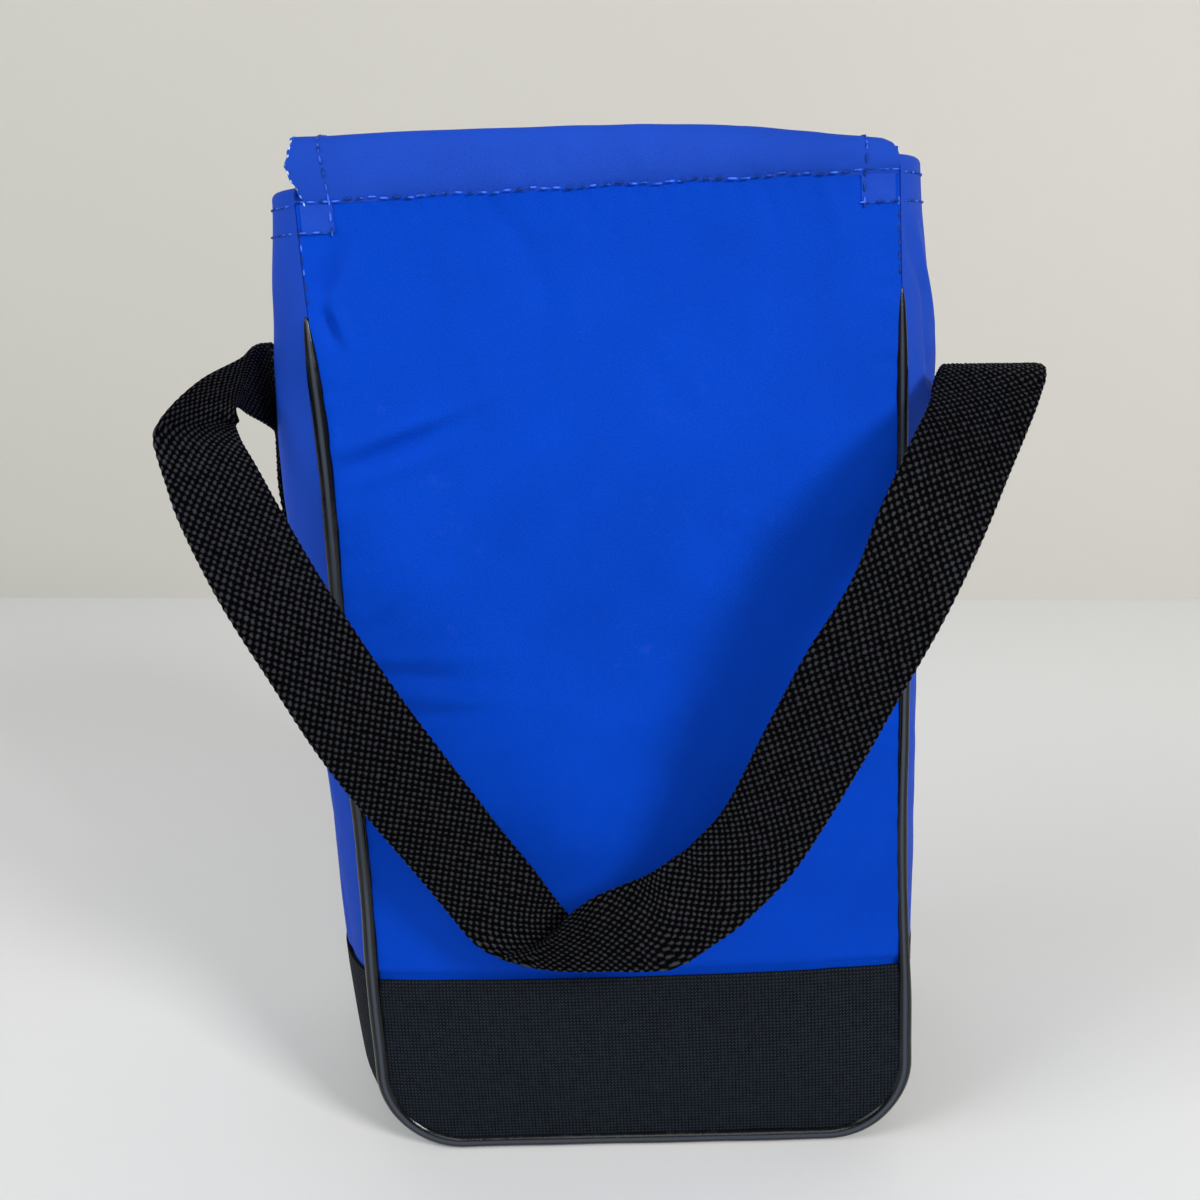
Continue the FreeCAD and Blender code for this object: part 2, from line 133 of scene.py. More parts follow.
FRONT_FOLDS = [
    (-62.0, 190.0, 28, 14.0, 2.6, -1.3),
    (-58.0, 184.0, 24, 14.0, 2.6, 1.0),
    (60.0, 176.0, -30, 15.0, 2.8, -1.2),
    (57.0, 169.0, -26, 14.0, 2.8, 0.9),
    (-10.0, 150.0, 82, 34.0, 6.0, 0.6),
    (22.0, 128.0, -74, 36.0, 7.0, -0.6),
    (-40.0, 100.0, 20, 22.0, 5.0, 0.6),
    (44.0, 86.0, -18, 24.0, 5.0, 0.6),
    (0.0, 70.0, 3, 40.0, 4.0, -0.5),
    (-64.0, 120.0, 8, 12.0, 2.2, -0.9),
    (66.0, 132.0, -6, 12.0, 2.2, -0.9),
]
LEFT_FOLDS = [
    (-14.0, 246.0, 84, 24.0, 3.4, -0.9),
    (4.0, 232.0, 96, 30.0, 4.6, 1.0),
    (16.0, 214.0, 78, 26.0, 3.6, -1.0),
    (-26.0, 122.0, 70, 20.0, 3.4, 0.8),
    (-20.0, 88.0, 100, 22.0, 3.6, -1.0),
    (10.0, 76.0, 84, 20.0, 4.2, 0.9),
    (-30.0, 68.0, 80, 13.0, 2.6, -1.1),
    (22.0, 110.0, 66, 22.0, 3.6, -0.9),
]
RIGHT_FOLDS = [
    (-26.0, 248.0, -58, 12.0, 2.6, -1.9),
    (-20.0, 243.0, -62, 13.0, 2.6, 1.5),
    (-21.0, 226.0, -88, 16.0, 2.8, -1.8),
    (-12.0, 222.0, -84, 20.0, 3.6, 1.6),
    (4.0, 236.0, 80, 26.0, 4.2, -1.0),
    (18.0, 218.0, 100, 24.0, 3.6, 0.9),
    (-24.0, 120.0, 94, 26.0, 3.2, -0.9),
    (-8.0, 92.0, 84, 24.0, 4.0, 0.8),
    (20.0, 104.0, 76, 24.0, 4.0, -0.8),
]
# Height above the table and how far each side swells out at mid depth, in millimetres.
LEFT_FULLNESS = [(0, 7.0), (20, 12.0), (50, 14.6), (110, 15.6), (160, 17.6), (195, 19.4),
                 (225, 18.0), (250, 15.0), (273, 11.5)]
RIGHT_FULLNESS = [(0, 4.0), (20, 5.5), (50, 6.6), (110, 8.4), (160, 8.8), (205, 12.0),
                  (235, 11.6), (273, 9.6)]
# Section of the flap's outer face, (depth, height) in millimetres: up from the back hem, over
# the roof and down the front.
FLAP_RISER = [(-32.3, 268.8), (-33.3, 273.0), (-33.3, 278.0), (-32.5, 282.0), (-31.2, 284.2),
              (-28.8, 285.1), (-20.0, 285.6), (0.0, 286.0)]
FLAP_FALL = [(0.0, 286.0), (20.0, 285.7), (31.0, 284.9), (35.6, 283.4), (38.0, 280.0),
             (38.8, 270.0), (39.9, 250.0), (41.0, 232.0), (42.0, 213.2)]
# Across the flap and how far its top sags there; along the flap from the back hem and where its
# left and right edges run. All in millimetres.
FLAP_SAG = [(-76, -0.2), (-58, 0.0), (-34, -0.1), (-14, 0.6), (6, 1.2), (25, 2.1), (36, 3.2),
            (55, 5.4), (67, 7.0), (72, 7.8), (74.4, 8.9), (75.4, 10.2), (76.5, 12.5)]
FLAP_LEFT_EDGE = [(0, -73.6), (4, -75.2), (9, -76.7), (15, -75.6), (22, -75.4), (200, -75.6)]
FLAP_RIGHT_EDGE = [(0, 75.2), (9, 75.6), (16, 75.6), (30, 75.6), (200, 75.6)]
# Creases in the flap, in the same form as the folds above.
FLAP_REAR_FOLDS = [
    (-55.5, 277, 66, 4.0, 1.8, -0.7),
    (-18, 277, 64, 4.5, 1.8, -0.7),
    (-9.5, 278, 98, 5.0, 1.8, -0.6),
    (12, 276, 90, 5.0, 3.0, 0.6),
    (40, 276, 84, 4.0, 3.0, 0.5),
    (62, 275, 70, 4.0, 2.4, -0.5),
]
FLAP_FRONT_FOLDS = [
    (-50, 236, 74, 16, 5, -0.7),
    (48, 240, -70, 16, 5, -0.7),
    (0, 228, 86, 14, 8, 0.6),
]
# Webbing from the left sewn end to the right one, in millimetres. Each ruling across it is its
# middle, the direction from the first selvage to the second, and the width as a multiple of
# the webbing's, which is below one where the webbing is pinched.
STRAP_LEFT_END = [
    ((-93.4, 3.0, 132.5), (0, -1, 0), 1.0),
    ((-94.1, 3.0, 150.0), (0, -1, 0), 1.0),
    ((-94.9, 3.0, 170.0), (0, -1, 0), 1.0),
    ((-96.0, 3.0, 184.0), (0, -1, -0.05), 1.0),
    ((-97.0, 3.6, 199.0), (0, -0.92, -0.38), 1.0),
    ((-97.2, 3.2, 212.0), (0, -0.66, -0.75), 1.03),
    ((-97.2, 0.5, 220.8), (0.03, -0.47, -0.88), 1.06),
    ((-97.4, -7.0, 223.4), (0.05, -0.57, -0.82), 1.03),
    ((-98.4, -15.0, 225.2), (0.04, -0.71, -0.70), 0.99),
    ((-98.9, -20.5, 226.0), (0.06, -0.83, -0.56), 0.97),
    ((-99.4, -26.0, 224.7), (0.17, -0.84, -0.51), 0.90),
    ((-101.9, -33.0, 221.9), (0.62, -0.45, -0.60), 0.64),
    ((-104.4, -38.0, 218.7), (0.81, 0.30, -0.33), 0.66),
    ((-106.3, -40.8, 216.0), (0.69, 0.70, -0.13), 0.84),
]
STRAP_HANGING = [
    ((-105.6, -44.2, 213.6), (0.70, 0.70, -0.08), 0.90),
    ((-103.8, -47.6, 210.6), (0.72, 0.69, -0.04), 0.91),
    ((-100.4, -52.0, 205.0), (0.76, 0.64, 0.02), 0.93),
    ((-95.4, -57.4, 195.6), (0.80, 0.58, 0.10), 0.96),
    ((-86.0, -64.6, 179.5), (0.74, 0.62, 0.24), 0.98),
    ((-76.0, -67.6, 161.5), (0.72, 0.59, 0.36), 0.97),
    ((-66.0, -67.0, 141.5), (0.78, 0.42, 0.46), 0.98),
    ((-55.4, -63.4, 121.0), (0.83, 0.20, 0.52), 1.0),
    ((-44.8, -58.8, 100.8), (0.83, 0.12, 0.55), 1.0),
    ((-37.4, -57.6, 88.4), (0.87, 0.10, 0.48), 1.02),
    ((-31.7, -57.4, 79.4), (0.90, 0.10, 0.42), 1.0),
    ((-26.0, -58.4, 74.0), (0.94, 0.13, 0.30), 0.92),
    ((-24.0, -60.8, 75.4), (0.81, 0.13, 0.57), 0.76),
    ((-21.8, -63.4, 77.0), (0.59, 0.10, 0.80), 0.72),
    ((-15.2, -65.0, 78.5), (0.18, 0.36, 0.92), 0.68),
    ((-7.8, -65.0, 79.9), (-0.13, 0.40, 0.91), 0.78),
    ((0.3, -64.4, 80.8), (-0.22, 0.32, 0.92), 0.92),
    ((8.1, -64.0, 82.5), (-0.26, 0.22, 0.94), 1.02),
    ((16.0, -64.4, 87.9), (-0.40, 0.18, 0.90), 1.0),
    ((23.5, -65.5, 94.4), (-0.56, 0.15, 0.82), 0.97),
    ((34.0, -67.6, 107.6), (-0.71, 0.10, 0.69), 0.96),
    ((45.4, -70.6, 130.0), (-0.83, 0.03, 0.55), 1.0),
    ((55.8, -73.4, 151.4), (-0.87, 0, 0.50), 1.0),
    ((66.3, -74.2, 170.3), (-0.90, 0, 0.44), 0.95),
    ((74.3, -71.6, 187.4), (-0.92, -0.02, 0.39), 1.0),
    ((82.8, -63.2, 201.3), (-0.93, -0.10, 0.33), 1.02),
    ((90.8, -51.4, 211.0), (-0.98, -0.10, 0.15), 1.05),
    ((94.4, -44.0, 215.1), (-1.0, -0.04, 0.07), 1.07),
]
STRAP_RIGHT_END = [
    ((96.4, -40.3, 217.3), (-1, 0, 0.04), 1.06),
    ((98.1, -36.0, 219.2), (-1, 0, 0.04), 1.04),
    ((99.5, -30.5, 219.9), (-1, 0, 0.05), 1.02),
    ((99.8, -24.6, 219.2), (-1, -0.04, 0.02), 1.0),
    ((99.7, -18.0, 216.4), (-1, -0.15, 0), 1.0),
    ((99.2, -12.0, 211.4), (-0.94, -0.33, 0), 1.0),
    ((97.0, -5.0, 202.4), (-0.74, -0.67, 0), 1.0),
    ((93.0, 0.5, 190.4), (-0.37, -0.93, 0), 1.0),
    ((88.9, 2.6, 178.5), (-0.08, -1.0, 0), 1.0),
    ((87.0, 3.0, 169.0), (0, -1, 0), 1.0),
    ((85.9, 3.0, 150.0), (0, -1, 0), 1.0),
    ((85.3, 3.0, 132.5), (0, -1, 0), 1.0),
]


# ---------------------------------------------------------------- sizes and colours a user sets


def set_length(name, description, default):
    """Length that a user can set, in metres."""
    return bpy.props.FloatProperty(
        name=name, description=description, default=default, unit="LENGTH")


def set_colour(name, description, default):
    """Base colour that a user can set."""
    return bpy.props.FloatVectorProperty(
        name=name, description=description, subtype="COLOR", default=default)


class BagSizes(bpy.types.PropertyGroup):
    """Sewn sizes of the lunch bag."""

    panel_width: set_length("Panel Width", "Between the two upright seams of a panel",
                            FLAP_BOX[1].x - FLAP_BOX[0].x)
    base_depth: set_length("Base Depth", "From back panel to front panel at the table", 0.096)
    mouth_depth: set_length("Mouth Depth", "From back panel to front panel at the mouth", 0.064)
    mouth_height: set_length("Mouth Height", "Top of the front panel above the table", 0.270)
    band_height: set_length("Band Height", "Top of the dark base band above the table", BAND_BOX[1].z)
    corner_radius: set_length("Corner Radius", "Round of each panel's lower corners", 0.023)
    cloth_thickness: set_length("Cloth Thickness", "Outer cloth with its coating", 0.0008)
    padding_thickness: set_length("Padding Thickness", "Foam between cloth and lining", 0.004)
    lining_thickness: set_length("Lining Thickness", "Foil-faced lining film", 0.0004)
    piping_radius: set_length("Piping Radius", "Round cord in the panel seams", 0.0021)
    piping_top: set_length("Piping Top", "Height at which the piping tapers away", 0.2415)
    web_width: set_length("Webbing Width", "Across the strap's two selvages", 0.0254)
    web_thickness: set_length("Webbing Thickness", "Strap thickness between weave hollows", 0.0012)
    stitch_pitch: set_length("Stitch Pitch", "From one stitch to the next", 0.0031)
    hem_height: set_length("Hem Height", "Height of the stitched line below the flap's back fold",
                           0.269)


class BagColours(bpy.types.PropertyGroup):
    """Base colours of the bag's finishes."""

    cloth: set_colour("Cloth", "Coated nylon of the upper bag", (0.0012, 0.052, 0.50))
    # Paler, greyer copy of the cloth for the flap and gussets: painted sheen, standing in for light that
    # these faces reflect.
    sheen_paled_cloth: set_colour("Sheen Paled Cloth", "The same nylon, paled as painted sheen: flap and gussets",
                            (0.013, 0.064, 0.47))
    canvas: set_colour("Canvas", "Basket-woven base band", (0.0065, 0.0095, 0.014))
    webbing: set_colour("Webbing", "Strap yarn", (0.0060, 0.0063, 0.0085))
    piping: set_colour("Piping", "Vinyl over the seam cord", (0.0045, 0.0055, 0.0075))
    lining: set_colour("Lining", "Foil-faced film inside", (0.55, 0.56, 0.58))
    thread: set_colour("Thread", "Sewing thread of the hems", (0.012, 0.075, 0.46))


def bag():
    """Sizes set for this scene."""
    return bpy.context.scene.lunch_bag_sizes


def colours():
    """Colours set for this scene."""
    return bpy.context.scene.lunch_bag_colours


# ---------------------------------------------------------------- curves and meshes


def step(low, high, value):
    """Smooth change from 0 at low to 1 at high."""
    t = np.clip((value - low) / (high - low), 0, 1)
    return t * t * (3 - 2 * t)


def catmull(points, params):
    """Smooth curve through points (rows of any width) at params, one unit a point."""
    p = np.asarray(points, float)
    last = len(p) - 1
    i = np.clip(np.floor(params).astype(int), 0, last - 1)
    t = (params - i)[:, None]
    a, b, c, d = (p[np.clip(i + k, 0, last)] for k in (-1, 0, 1, 2))
    m0, m1 = (c - a) / 2, (d - b) / 2
    return (
        (2 * t**3 - 3 * t**2 + 1) * b + (t**3 - 2 * t**2 + t) * m0
        + (-2 * t**3 + 3 * t**2) * c + (t**3 - t**2) * m1
    )


def distances(path):
    """How far along a line of points each of them lies."""
    return np.concatenate([[0], np.cumsum(np.linalg.norm(np.diff(path, axis=0), axis=1))])


def even_params(points, spacing, centre=None):
    """Params at which catmull() gives points about one spacing apart along the line."""
    fine = np.linspace(0, len(points) - 1, 40 * len(points))
    run = distances(catmull(points if centre is None else centre, fine))
    count = max(int(round(run[-1] / spacing)), 2) + 1
    return np.interp(np.linspace(0, run[-1], count), run, fine)


def through(table, at):
    """Smooth value between the (place, value) rows of a short table."""
    rows = np.asarray(table, float)
    params = np.interp(at, rows[:, 0], np.arange(len(rows)))
    return catmull(rows[:, 1:], np.ravel(params)).reshape(np.shape(at))


def pressed(folds, across, up):
    """Height of listed folds over a cloth at points (across, up), all in metres."""
    total = np.zeros(np.broadcast(across, up).shape)
    for x, z, turn, half_length, half_width, height in folds:
        cos, sin = math.cos(math.radians(turn)), math.sin(math.radians(turn))
        dx, dz = across - x * MM, up - z * MM
        along = (dx * cos + dz * sin) / (half_length * MM)
        side = (dz * cos - dx * sin) / (half_width * MM)
        total = total + height * MM * np.exp(-along**2 - np.abs(side) ** 1.7)
    return total


def rippled(points, size, height, seed):
    """Low smooth unevenness over a grid of points, as in cloth that has been used."""
    flat = points.reshape(-1, 3)
    shift = Vector((seed * 7.3, seed * 3.1, seed * 5.7))
    values = [noise.fractal(Vector(p) / size + shift, 1.0, 2.0, 2) for p in flat]
    return height * np.array(values).reshape(points.shape[:-1])


def grid_normals(grid):
    """Unit normals of a grid of points."""
    down, over = np.gradient(grid, axis=0), np.gradient(grid, axis=1)
    normal = np.cross(down, over)
    return normal / np.maximum(np.linalg.norm(normal, axis=-1, keepdims=True), 1e-12)


def outward(grid, away_from):
    """Normals of a grid, turned away from a point."""
    normals = grid_normals(grid)
    sign = np.sum(normals * (grid - np.asarray(away_from)))
    return normals if sign > 0 else -normals


def lean_top(mesh):
    """Shift a mesh sideways near the bag's mouth, as the bag stands."""
    places = np.empty(len(mesh.vertices) * 3)
    mesh.vertices.foreach_get("co", places)
    places[0::3] -= TOP_LEAN * step(0.20, 0.272, places[2::3])
    mesh.vertices.foreach_set("co", places)


def linked(name, data):
    """New object in the scene."""
    item = bpy.data.objects.new(name, data)
    bpy.context.scene.collection.objects.link(item)
    return item


def make_mesh(name, points, faces, uv, material, sharp=()):
    """Object with a smooth-shaded mesh, a UV map in metres and one material."""
    mesh = bpy.data.meshes.new(name)
    mesh.from_pydata(points.tolist(), [], faces)
    mesh.polygons.foreach_set("use_smooth", [True] * len(mesh.polygons))
    corner = np.zeros(len(mesh.loops), np.int32)
    mesh.loops.foreach_get("vertex_index", corner)
    coords = mesh.uv_layers.new(name="cloth")
    coords.uv.foreach_set("vector", uv[corner].astype(np.float32).ravel())
    if sharp:
        pairs = {tuple(sorted(pair)) for pair in sharp}
        flags = [tuple(sorted(edge.vertices)) in pairs for edge in mesh.edges]
        mesh.attributes.new("sharp_edge", "BOOLEAN", "EDGE").data.foreach_set("value", flags)
    mesh.materials.append(material)
    lean_top(mesh)
    mesh.update()
    return linked(name, mesh)


def shell(name, outer, inner, uv, material, under_uv=None):
    """Closed solid between two grids of points."""
    rows, cols = outer.shape[:2]
    index = np.arange(rows * cols).reshape(rows, cols)
    a, b = index[:-1, :-1].ravel(), index[1:, :-1].ravel()
    c, d = index[1:, 1:].ravel(), index[:-1, 1:].ravel()
    far = rows * cols
    rims = [index[-1, :], index[0, ::-1], index[:, 0], index[::-1, -1]]
    middle = (rows // 2, cols // 2)
    facing = np.dot(grid_normals(outer)[middle], outer[middle] - inner[middle]) > 0
    faces = np.stack([a, b, c, d], 1).tolist() + (np.stack([d, c, b, a], 1) + far).tolist()
    sharp = []
    for rim in rims:
        for i, j in zip(rim[:-1].tolist(), rim[1:].tolist()):
            faces.append([j, i, i + far, j + far])
            sharp += [(i, j), (i + far, j + far)]
    if not facing:
        faces = [face[::-1] for face in faces]
    points = np.concatenate([outer.reshape(-1, 3), inner.reshape(-1, 3)])
    under_uv = uv if under_uv is None else under_uv
    coords = np.concatenate([uv.reshape(-1, 2), under_uv.reshape(-1, 2)])
    return make_mesh(name, points, faces, coords, material, sharp)


def layer(name, grid, normals, uv, start, end, material):
    """Layer of cloth, foam or film between two depths below a grid of points."""
    return shell(name, grid - normals * start, grid - normals * end, uv, material)


def swept(name, path, wide, thick, half_w, half_t, material, around=14):
    """Rounded bar along a path, with its own width and thickness directions and half sizes."""
    turn = np.linspace(0, 2 * math.pi, around, endpoint=False)
    ring = path[:, None] + (
        wide[:, None] * (np.cos(turn)[:, None] * half_w[:, None, None])
        + thick[:, None] * (np.sin(turn)[:, None] * half_t[:, None, None])
    )
    rows, points = len(path), ring.reshape(-1, 3)
    index = np.arange(rows * around).reshape(rows, around)
    nxt = np.roll(index, -1, axis=1)
    faces = np.stack([index[:-1], nxt[:-1], nxt[1:], index[1:]], -1).reshape(-1, 4).tolist()
    first, last = len(points), len(points) + 1
    faces += [[first, b, a] for a, b in zip(index[0].tolist(), nxt[0].tolist())]
    faces += [[last, a, b] for a, b in zip(index[-1].tolist(), nxt[-1].tolist())]
    if np.dot(np.cross(wide[0], thick[0]), path[1] - path[0]) < 0:
        faces = [face[::-1] for face in faces]
    run = distances(path)
    uv = np.stack(np.broadcast_arrays(turn * half_w.max(), run[:, None]), -1).reshape(-1, 2)
    uv = np.concatenate([uv, [[0, 0], [0, run[-1]]]])
    return make_mesh(name, np.concatenate([points, path[:1], path[-1:]]), faces, uv, material)


def finished(piece, slot, body, *nodes):
    """Hide the parts that a piece stands for and attach it to the body it rides on, if any; slot is not
    used.
    """
    if nodes:
        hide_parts(*nodes)
    if body:
        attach(piece, body)
    return piece


# ---------------------------------------------------------------- finishes


class Finish:
    """A material's node tree, with short ways to add and join nodes."""

    def __init__(self, name):
        self.material = bpy.data.materials.new(name)
        self.material.use_nodes = True
        self.tree = self.material.node_tree
        self.shader = self.tree.nodes["Principled BSDF"]

    def add(self, kind, settings=None, **inputs):
        """New node; inputs are values or output sockets, under their names with _ for space."""
        node = self.tree.nodes.new("ShaderNode" + kind)
        for key, value in (settings or {}).items():
            setattr(node, key, value)
        for key, value in inputs.items():
            self.put(node.inputs[key.replace("_", " ")], value)
        return node

    def put(self, socket, value):
        """Set a socket to a value, or link an output to it."""
        if isinstance(value, bpy.types.NodeSocket):
            self.tree.links.new(value, socket)
        else:
            socket.default_value = value

    def maths(self, operation, first, second=0.0):
        """Output of one arithmetic step."""
        node = self.add("Math", {"operation": operation})
        self.put(node.inputs[0], first)
        self.put(node.inputs[1], second)
        return node.outputs[0]

    def millimetres(self):
        """Across and along the cloth, in millimetres."""
        cloth = self.add("UVMap", {"uv_map": "cloth"})
        split = self.add("SeparateXYZ", Vector=cloth.outputs["UV"])
        return (self.maths("MULTIPLY", split.outputs["X"], 1000.0),
                self.maths("MULTIPLY", split.outputs["Y"], 1000.0))

    def wave(self, coordinate, pitch):
        """Sine of a coordinate, one turn a pitch."""
        return self.maths("SINE", self.maths("MULTIPLY", coordinate, 2 * math.pi / pitch))

    def noise(self, scale, detail=3.0, roughness=0.5):
        """Noise in object space; scale is in turns a metre."""
        place = self.add("TexCoord").outputs["Object"]
        node = self.add("TexNoise", Vector=place, Scale=scale, Detail=detail,
                        Roughness=roughness)
        return node.outputs["Fac"]

    def ramp(self, value, low, high, start=0.0, end=1.0):
        """Map a range of one value to another, held at its ends."""
        node = self.add("MapRange", From_Min=low, From_Max=high, To_Min=start, To_Max=end)
        self.put(node.inputs["Value"], value)
        return node.outputs["Result"]

    def mix(self, factor, first, second):
        """Mix of two colours."""
        node = self.add("Mix", {"data_type": "RGBA"})
        self.put(node.inputs["Factor"], factor)
        for socket, value in ((node.inputs[6], first), (node.inputs[7], second)):
            self.put(socket, (*value, 1.0) if isinstance(value, tuple) else value)
        return node.outputs[2]

    def bumps(self, *heights):
        """Join (height socket, distance in metres) pairs to the shader's normal."""
        normal = None
        for height, distance in heights:
            node = self.add("Bump", Distance=distance, Height=height)
            if normal is not None:
                self.put(node.inputs["Normal"], normal)
            normal = node.outputs["Normal"]
        self.put(self.shader.inputs["Normal"], normal)

    def surface(self, **values):
        """Set or link the shader's own sockets."""
        for key, value in values.items():
            socket = self.shader.inputs[key.replace("_", " ")]
            self.put(socket, (*value, 1.0) if isinstance(value, tuple) else value)


def shade(colour, share):
    """Colour multiplied by a share, as a tuple."""
    return tuple(channel * share for channel in colour)


def coated_cloth(name, colour):
    """Fine plain-woven nylon under a soft coating, with scuffs that dull and pale it."""
    f = Finish(name)
    across, along = f.millimetres()
    weave = f.maths("MULTIPLY", f.wave(across, 0.62), f.wave(along, 0.62))
    slub = f.noise(260.0, 4.0, 0.6)
    cloud = f.noise(16.0, 3.0, 0.55)
    scuff = f.ramp(f.noise(90.0, 6.0, 0.7), 0.62, 0.80)
    tone = f.mix(f.ramp(cloud, 0.3, 0.7), shade(colour, 0.86), shade(colour, 1.12))
    grain = f.mix(f.ramp(weave, -1.0, 1.0, 0.0, 0.16), tone, shade(colour, 0.45))
    pale = tuple(min(channel * 1.15 + 0.03, 1.0) for channel in colour)
    f.surface(
        Base_Color=f.mix(f.maths("MULTIPLY", scuff, 0.18), grain, pale),
        Roughness=f.ramp(f.maths("ADD", slub, f.maths("MULTIPLY", cloud, 0.6)),
                         0.5, 1.2, 0.44, 0.60),
        IOR=1.13, Specular_IOR_Level=0.25,
    )
    f.bumps((weave, 0.00003), (slub, 0.00010), (f.noise(1500.0, 2.0), 0.00004))
    return f.material


def basket_canvas(name, colour):
    """Coarse basket-woven polyester: paired glints on a matt dark ground."""
    f = Finish(name)
    across, along = f.millimetres()
    warp, weft = f.wave(across, 2.0), f.wave(along, 2.0)
    over = f.maths("MULTIPLY", warp, weft)
    yarn = f.maths("MULTIPLY", f.wave(across, 1.0), f.wave(along, 1.0))
    dots = f.maths("ADD", f.maths("ABSOLUTE", over), f.maths("MULTIPLY", yarn, 0.35))
    glint = f.ramp(dots, 0.45, 1.15)
    fuzz = f.noise(420.0, 5.0, 0.65)
    dark = f.mix(f.ramp(fuzz, 0.35, 0.7), shade(colour, 0.55), shade(colour, 1.1))
    f.surface(
        Base_Color=f.mix(f.maths("MULTIPLY", glint, 0.65), dark, shade(colour, 3.4)),
        Roughness=f.ramp(glint, 0.0, 1.0, 0.78, 0.52),
        Specular_IOR_Level=f.ramp(glint, 0.0, 1.0, 0.04, 0.22),
    )
    f.bumps((dots, 0.00022), (fuzz, 0.00008))
    return f.material


def ribbed_webbing(name, colour):
    """Heavy plain-woven yarn whose floats glint along their length."""
    f = Finish(name)
    across, along = f.millimetres()
    pitch = bag().web_width * 2000 / WEB_CELLS
    slip = f.maths("MULTIPLY", f.noise(560.0, 2.0), 0.9)
    float_run = f.maths("MULTIPLY", f.wave(f.maths("ADD", across, slip), pitch),
                        f.wave(f.maths("SUBTRACT", along, slip), pitch * WEB_STRETCH))
    patch = f.noise(520.0, 4.0, 0.7)
    fibre = f.wave(f.maths("ADD", across, f.maths("MULTIPLY", f.noise(900.0, 2.0), 0.3)), 0.24)
    glint = f.ramp(f.maths("ADD", float_run, f.maths("MULTIPLY", patch, 1.1)), 0.55, 1.45)
    # Random patches of pale grey on the glinting floats: partly grey dirt, partly painted highlight.
    dust_and_glint = f.ramp(f.noise(300.0, 5.0, 0.7), 0.6, 0.8)
    tone = f.mix(glint, shade(colour, 0.16), shade(colour, 4.2))
    f.surface(
        Base_Color=f.mix(f.maths("MULTIPLY", f.maths("MULTIPLY", dust_and_glint, glint), 0.3), tone,
                         (0.05, 0.05, 0.052)),
        Roughness=f.ramp(glint, 0.0, 1.0, 0.70, 0.38),
        Specular_IOR_Level=f.ramp(glint, 0.0, 1.0, 0.02, 0.32),
    )
    f.bumps((fibre, 0.00005), (f.noise(1400.0, 3.0), 0.00005))
    return f.material


def glossy_vinyl(name, colour):
    """Smooth vinyl drawn over cord: shiny, with faint ripples, paler along its outer ridge as a painted
    highlight and rubbed paler in patches.
    """
    f = Finish(name)
    around, _ = f.millimetres()
    side = f.maths("ABSOLUTE", f.wave(around, 2000 * math.pi * bag().piping_radius))
    # Pale band round the outer ridge of the cord: painted highlight.
    crest_highlight = f.ramp(side, 0.93, 1.0)
    rub = f.ramp(f.noise(120.0, 5.0, 0.65), 0.5, 0.75)
    f.surface(
        Base_Color=f.mix(f.maths("MAXIMUM", crest_highlight, f.maths("MULTIPLY", rub, 0.2)), shade(colour, 0.4),
                         shade(colour, 9.0)),
        Roughness=f.ramp(rub, 0.0, 1.0, 0.16, 0.30),
        IOR=1.34,
    )
    f.bumps((f.noise(240.0, 2.0), 0.00010), (f.noise(1600.0, 3.0), 0.00003))
    return f.material


def foil_film(name, colour):
    """Foil-faced lining film: crinkled, half shiny, silver-grey."""
    f = Finish(name)
    place = f.add("TexCoord").outputs["Object"]
    cells = f.add("TexVoronoi", {"feature": "F1"}, Vector=place, Scale=70.0)
    crinkle = f.noise(140.0, 5.0, 0.6)
    f.surface(
        Base_Color=f.mix(f.ramp(crinkle, 0.3, 0.7), shade(colour, 0.82), shade(colour, 1.08)),
        Roughness=f.ramp(crinkle, 0.3, 0.7, 0.26, 0.42), Metallic=0.55,
    )
    f.bumps((cells.outputs["Distance"], 0.0005), (crinkle, 0.0006))
    return f.material


def closed_foam(name):
    """White closed-cell foam sheet with fine skin pits."""
    f = Finish(name)
    pits = f.noise(1800.0, 4.0, 0.6)
    stain = f.noise(25.0, 3.0)
    f.surface(
        Base_Color=f.mix(f.ramp(stain, 0.35, 0.7), (0.80, 0.80, 0.77), (0.70, 0.69, 0.65)),
        Roughness=f.ramp(pits, 0.3, 0.7, 0.75, 0.92), Subsurface_Weight=0.08,
    )
    f.bumps((pits, 0.00015),)
    return f.material


def stiff_board(name):
    """Dark stiffening sheet with a pressed grain."""
    f = Finish(name)
    grain = f.noise(900.0, 4.0, 0.6)
    f.surface(
        Base_Color=f.mix(grain, (0.020, 0.020, 0.022), (0.045, 0.045, 0.048)),
        Roughness=f.ramp(grain, 0.3, 0.7, 0.55, 0.75),
    )
    f.bumps((grain, 0.00012),)
    return f.material


def woven_tape(name, colour, pitch, pile):
    """Narrow woven tape, with a pile or hooks where pile is above nothing."""
    f = Finish(name)
    place = f.add("TexCoord").outputs["Object"]
    split = f.add("SeparateXYZ", Vector=place)
    ribs = f.maths(
        "MULTIPLY", f.wave(split.outputs["X"], pitch), f.wave(split.outputs["Z"], pitch)
    )
    fuzz = f.noise(1300.0, 6.0, 0.75)
    f.surface(
        Base_Color=f.mix(f.ramp(fuzz, 0.3, 0.75), shade(colour, 0.5), shade(colour, 2.2)),
        Roughness=f.ramp(fuzz, 0.3, 0.7, 0.6, 0.9), Sheen_Weight=0.25 if pile else 0.1,
    )
    f.bumps((ribs, 0.00015), (fuzz, 0.0006 if pile else 0.0001))
    return f.material


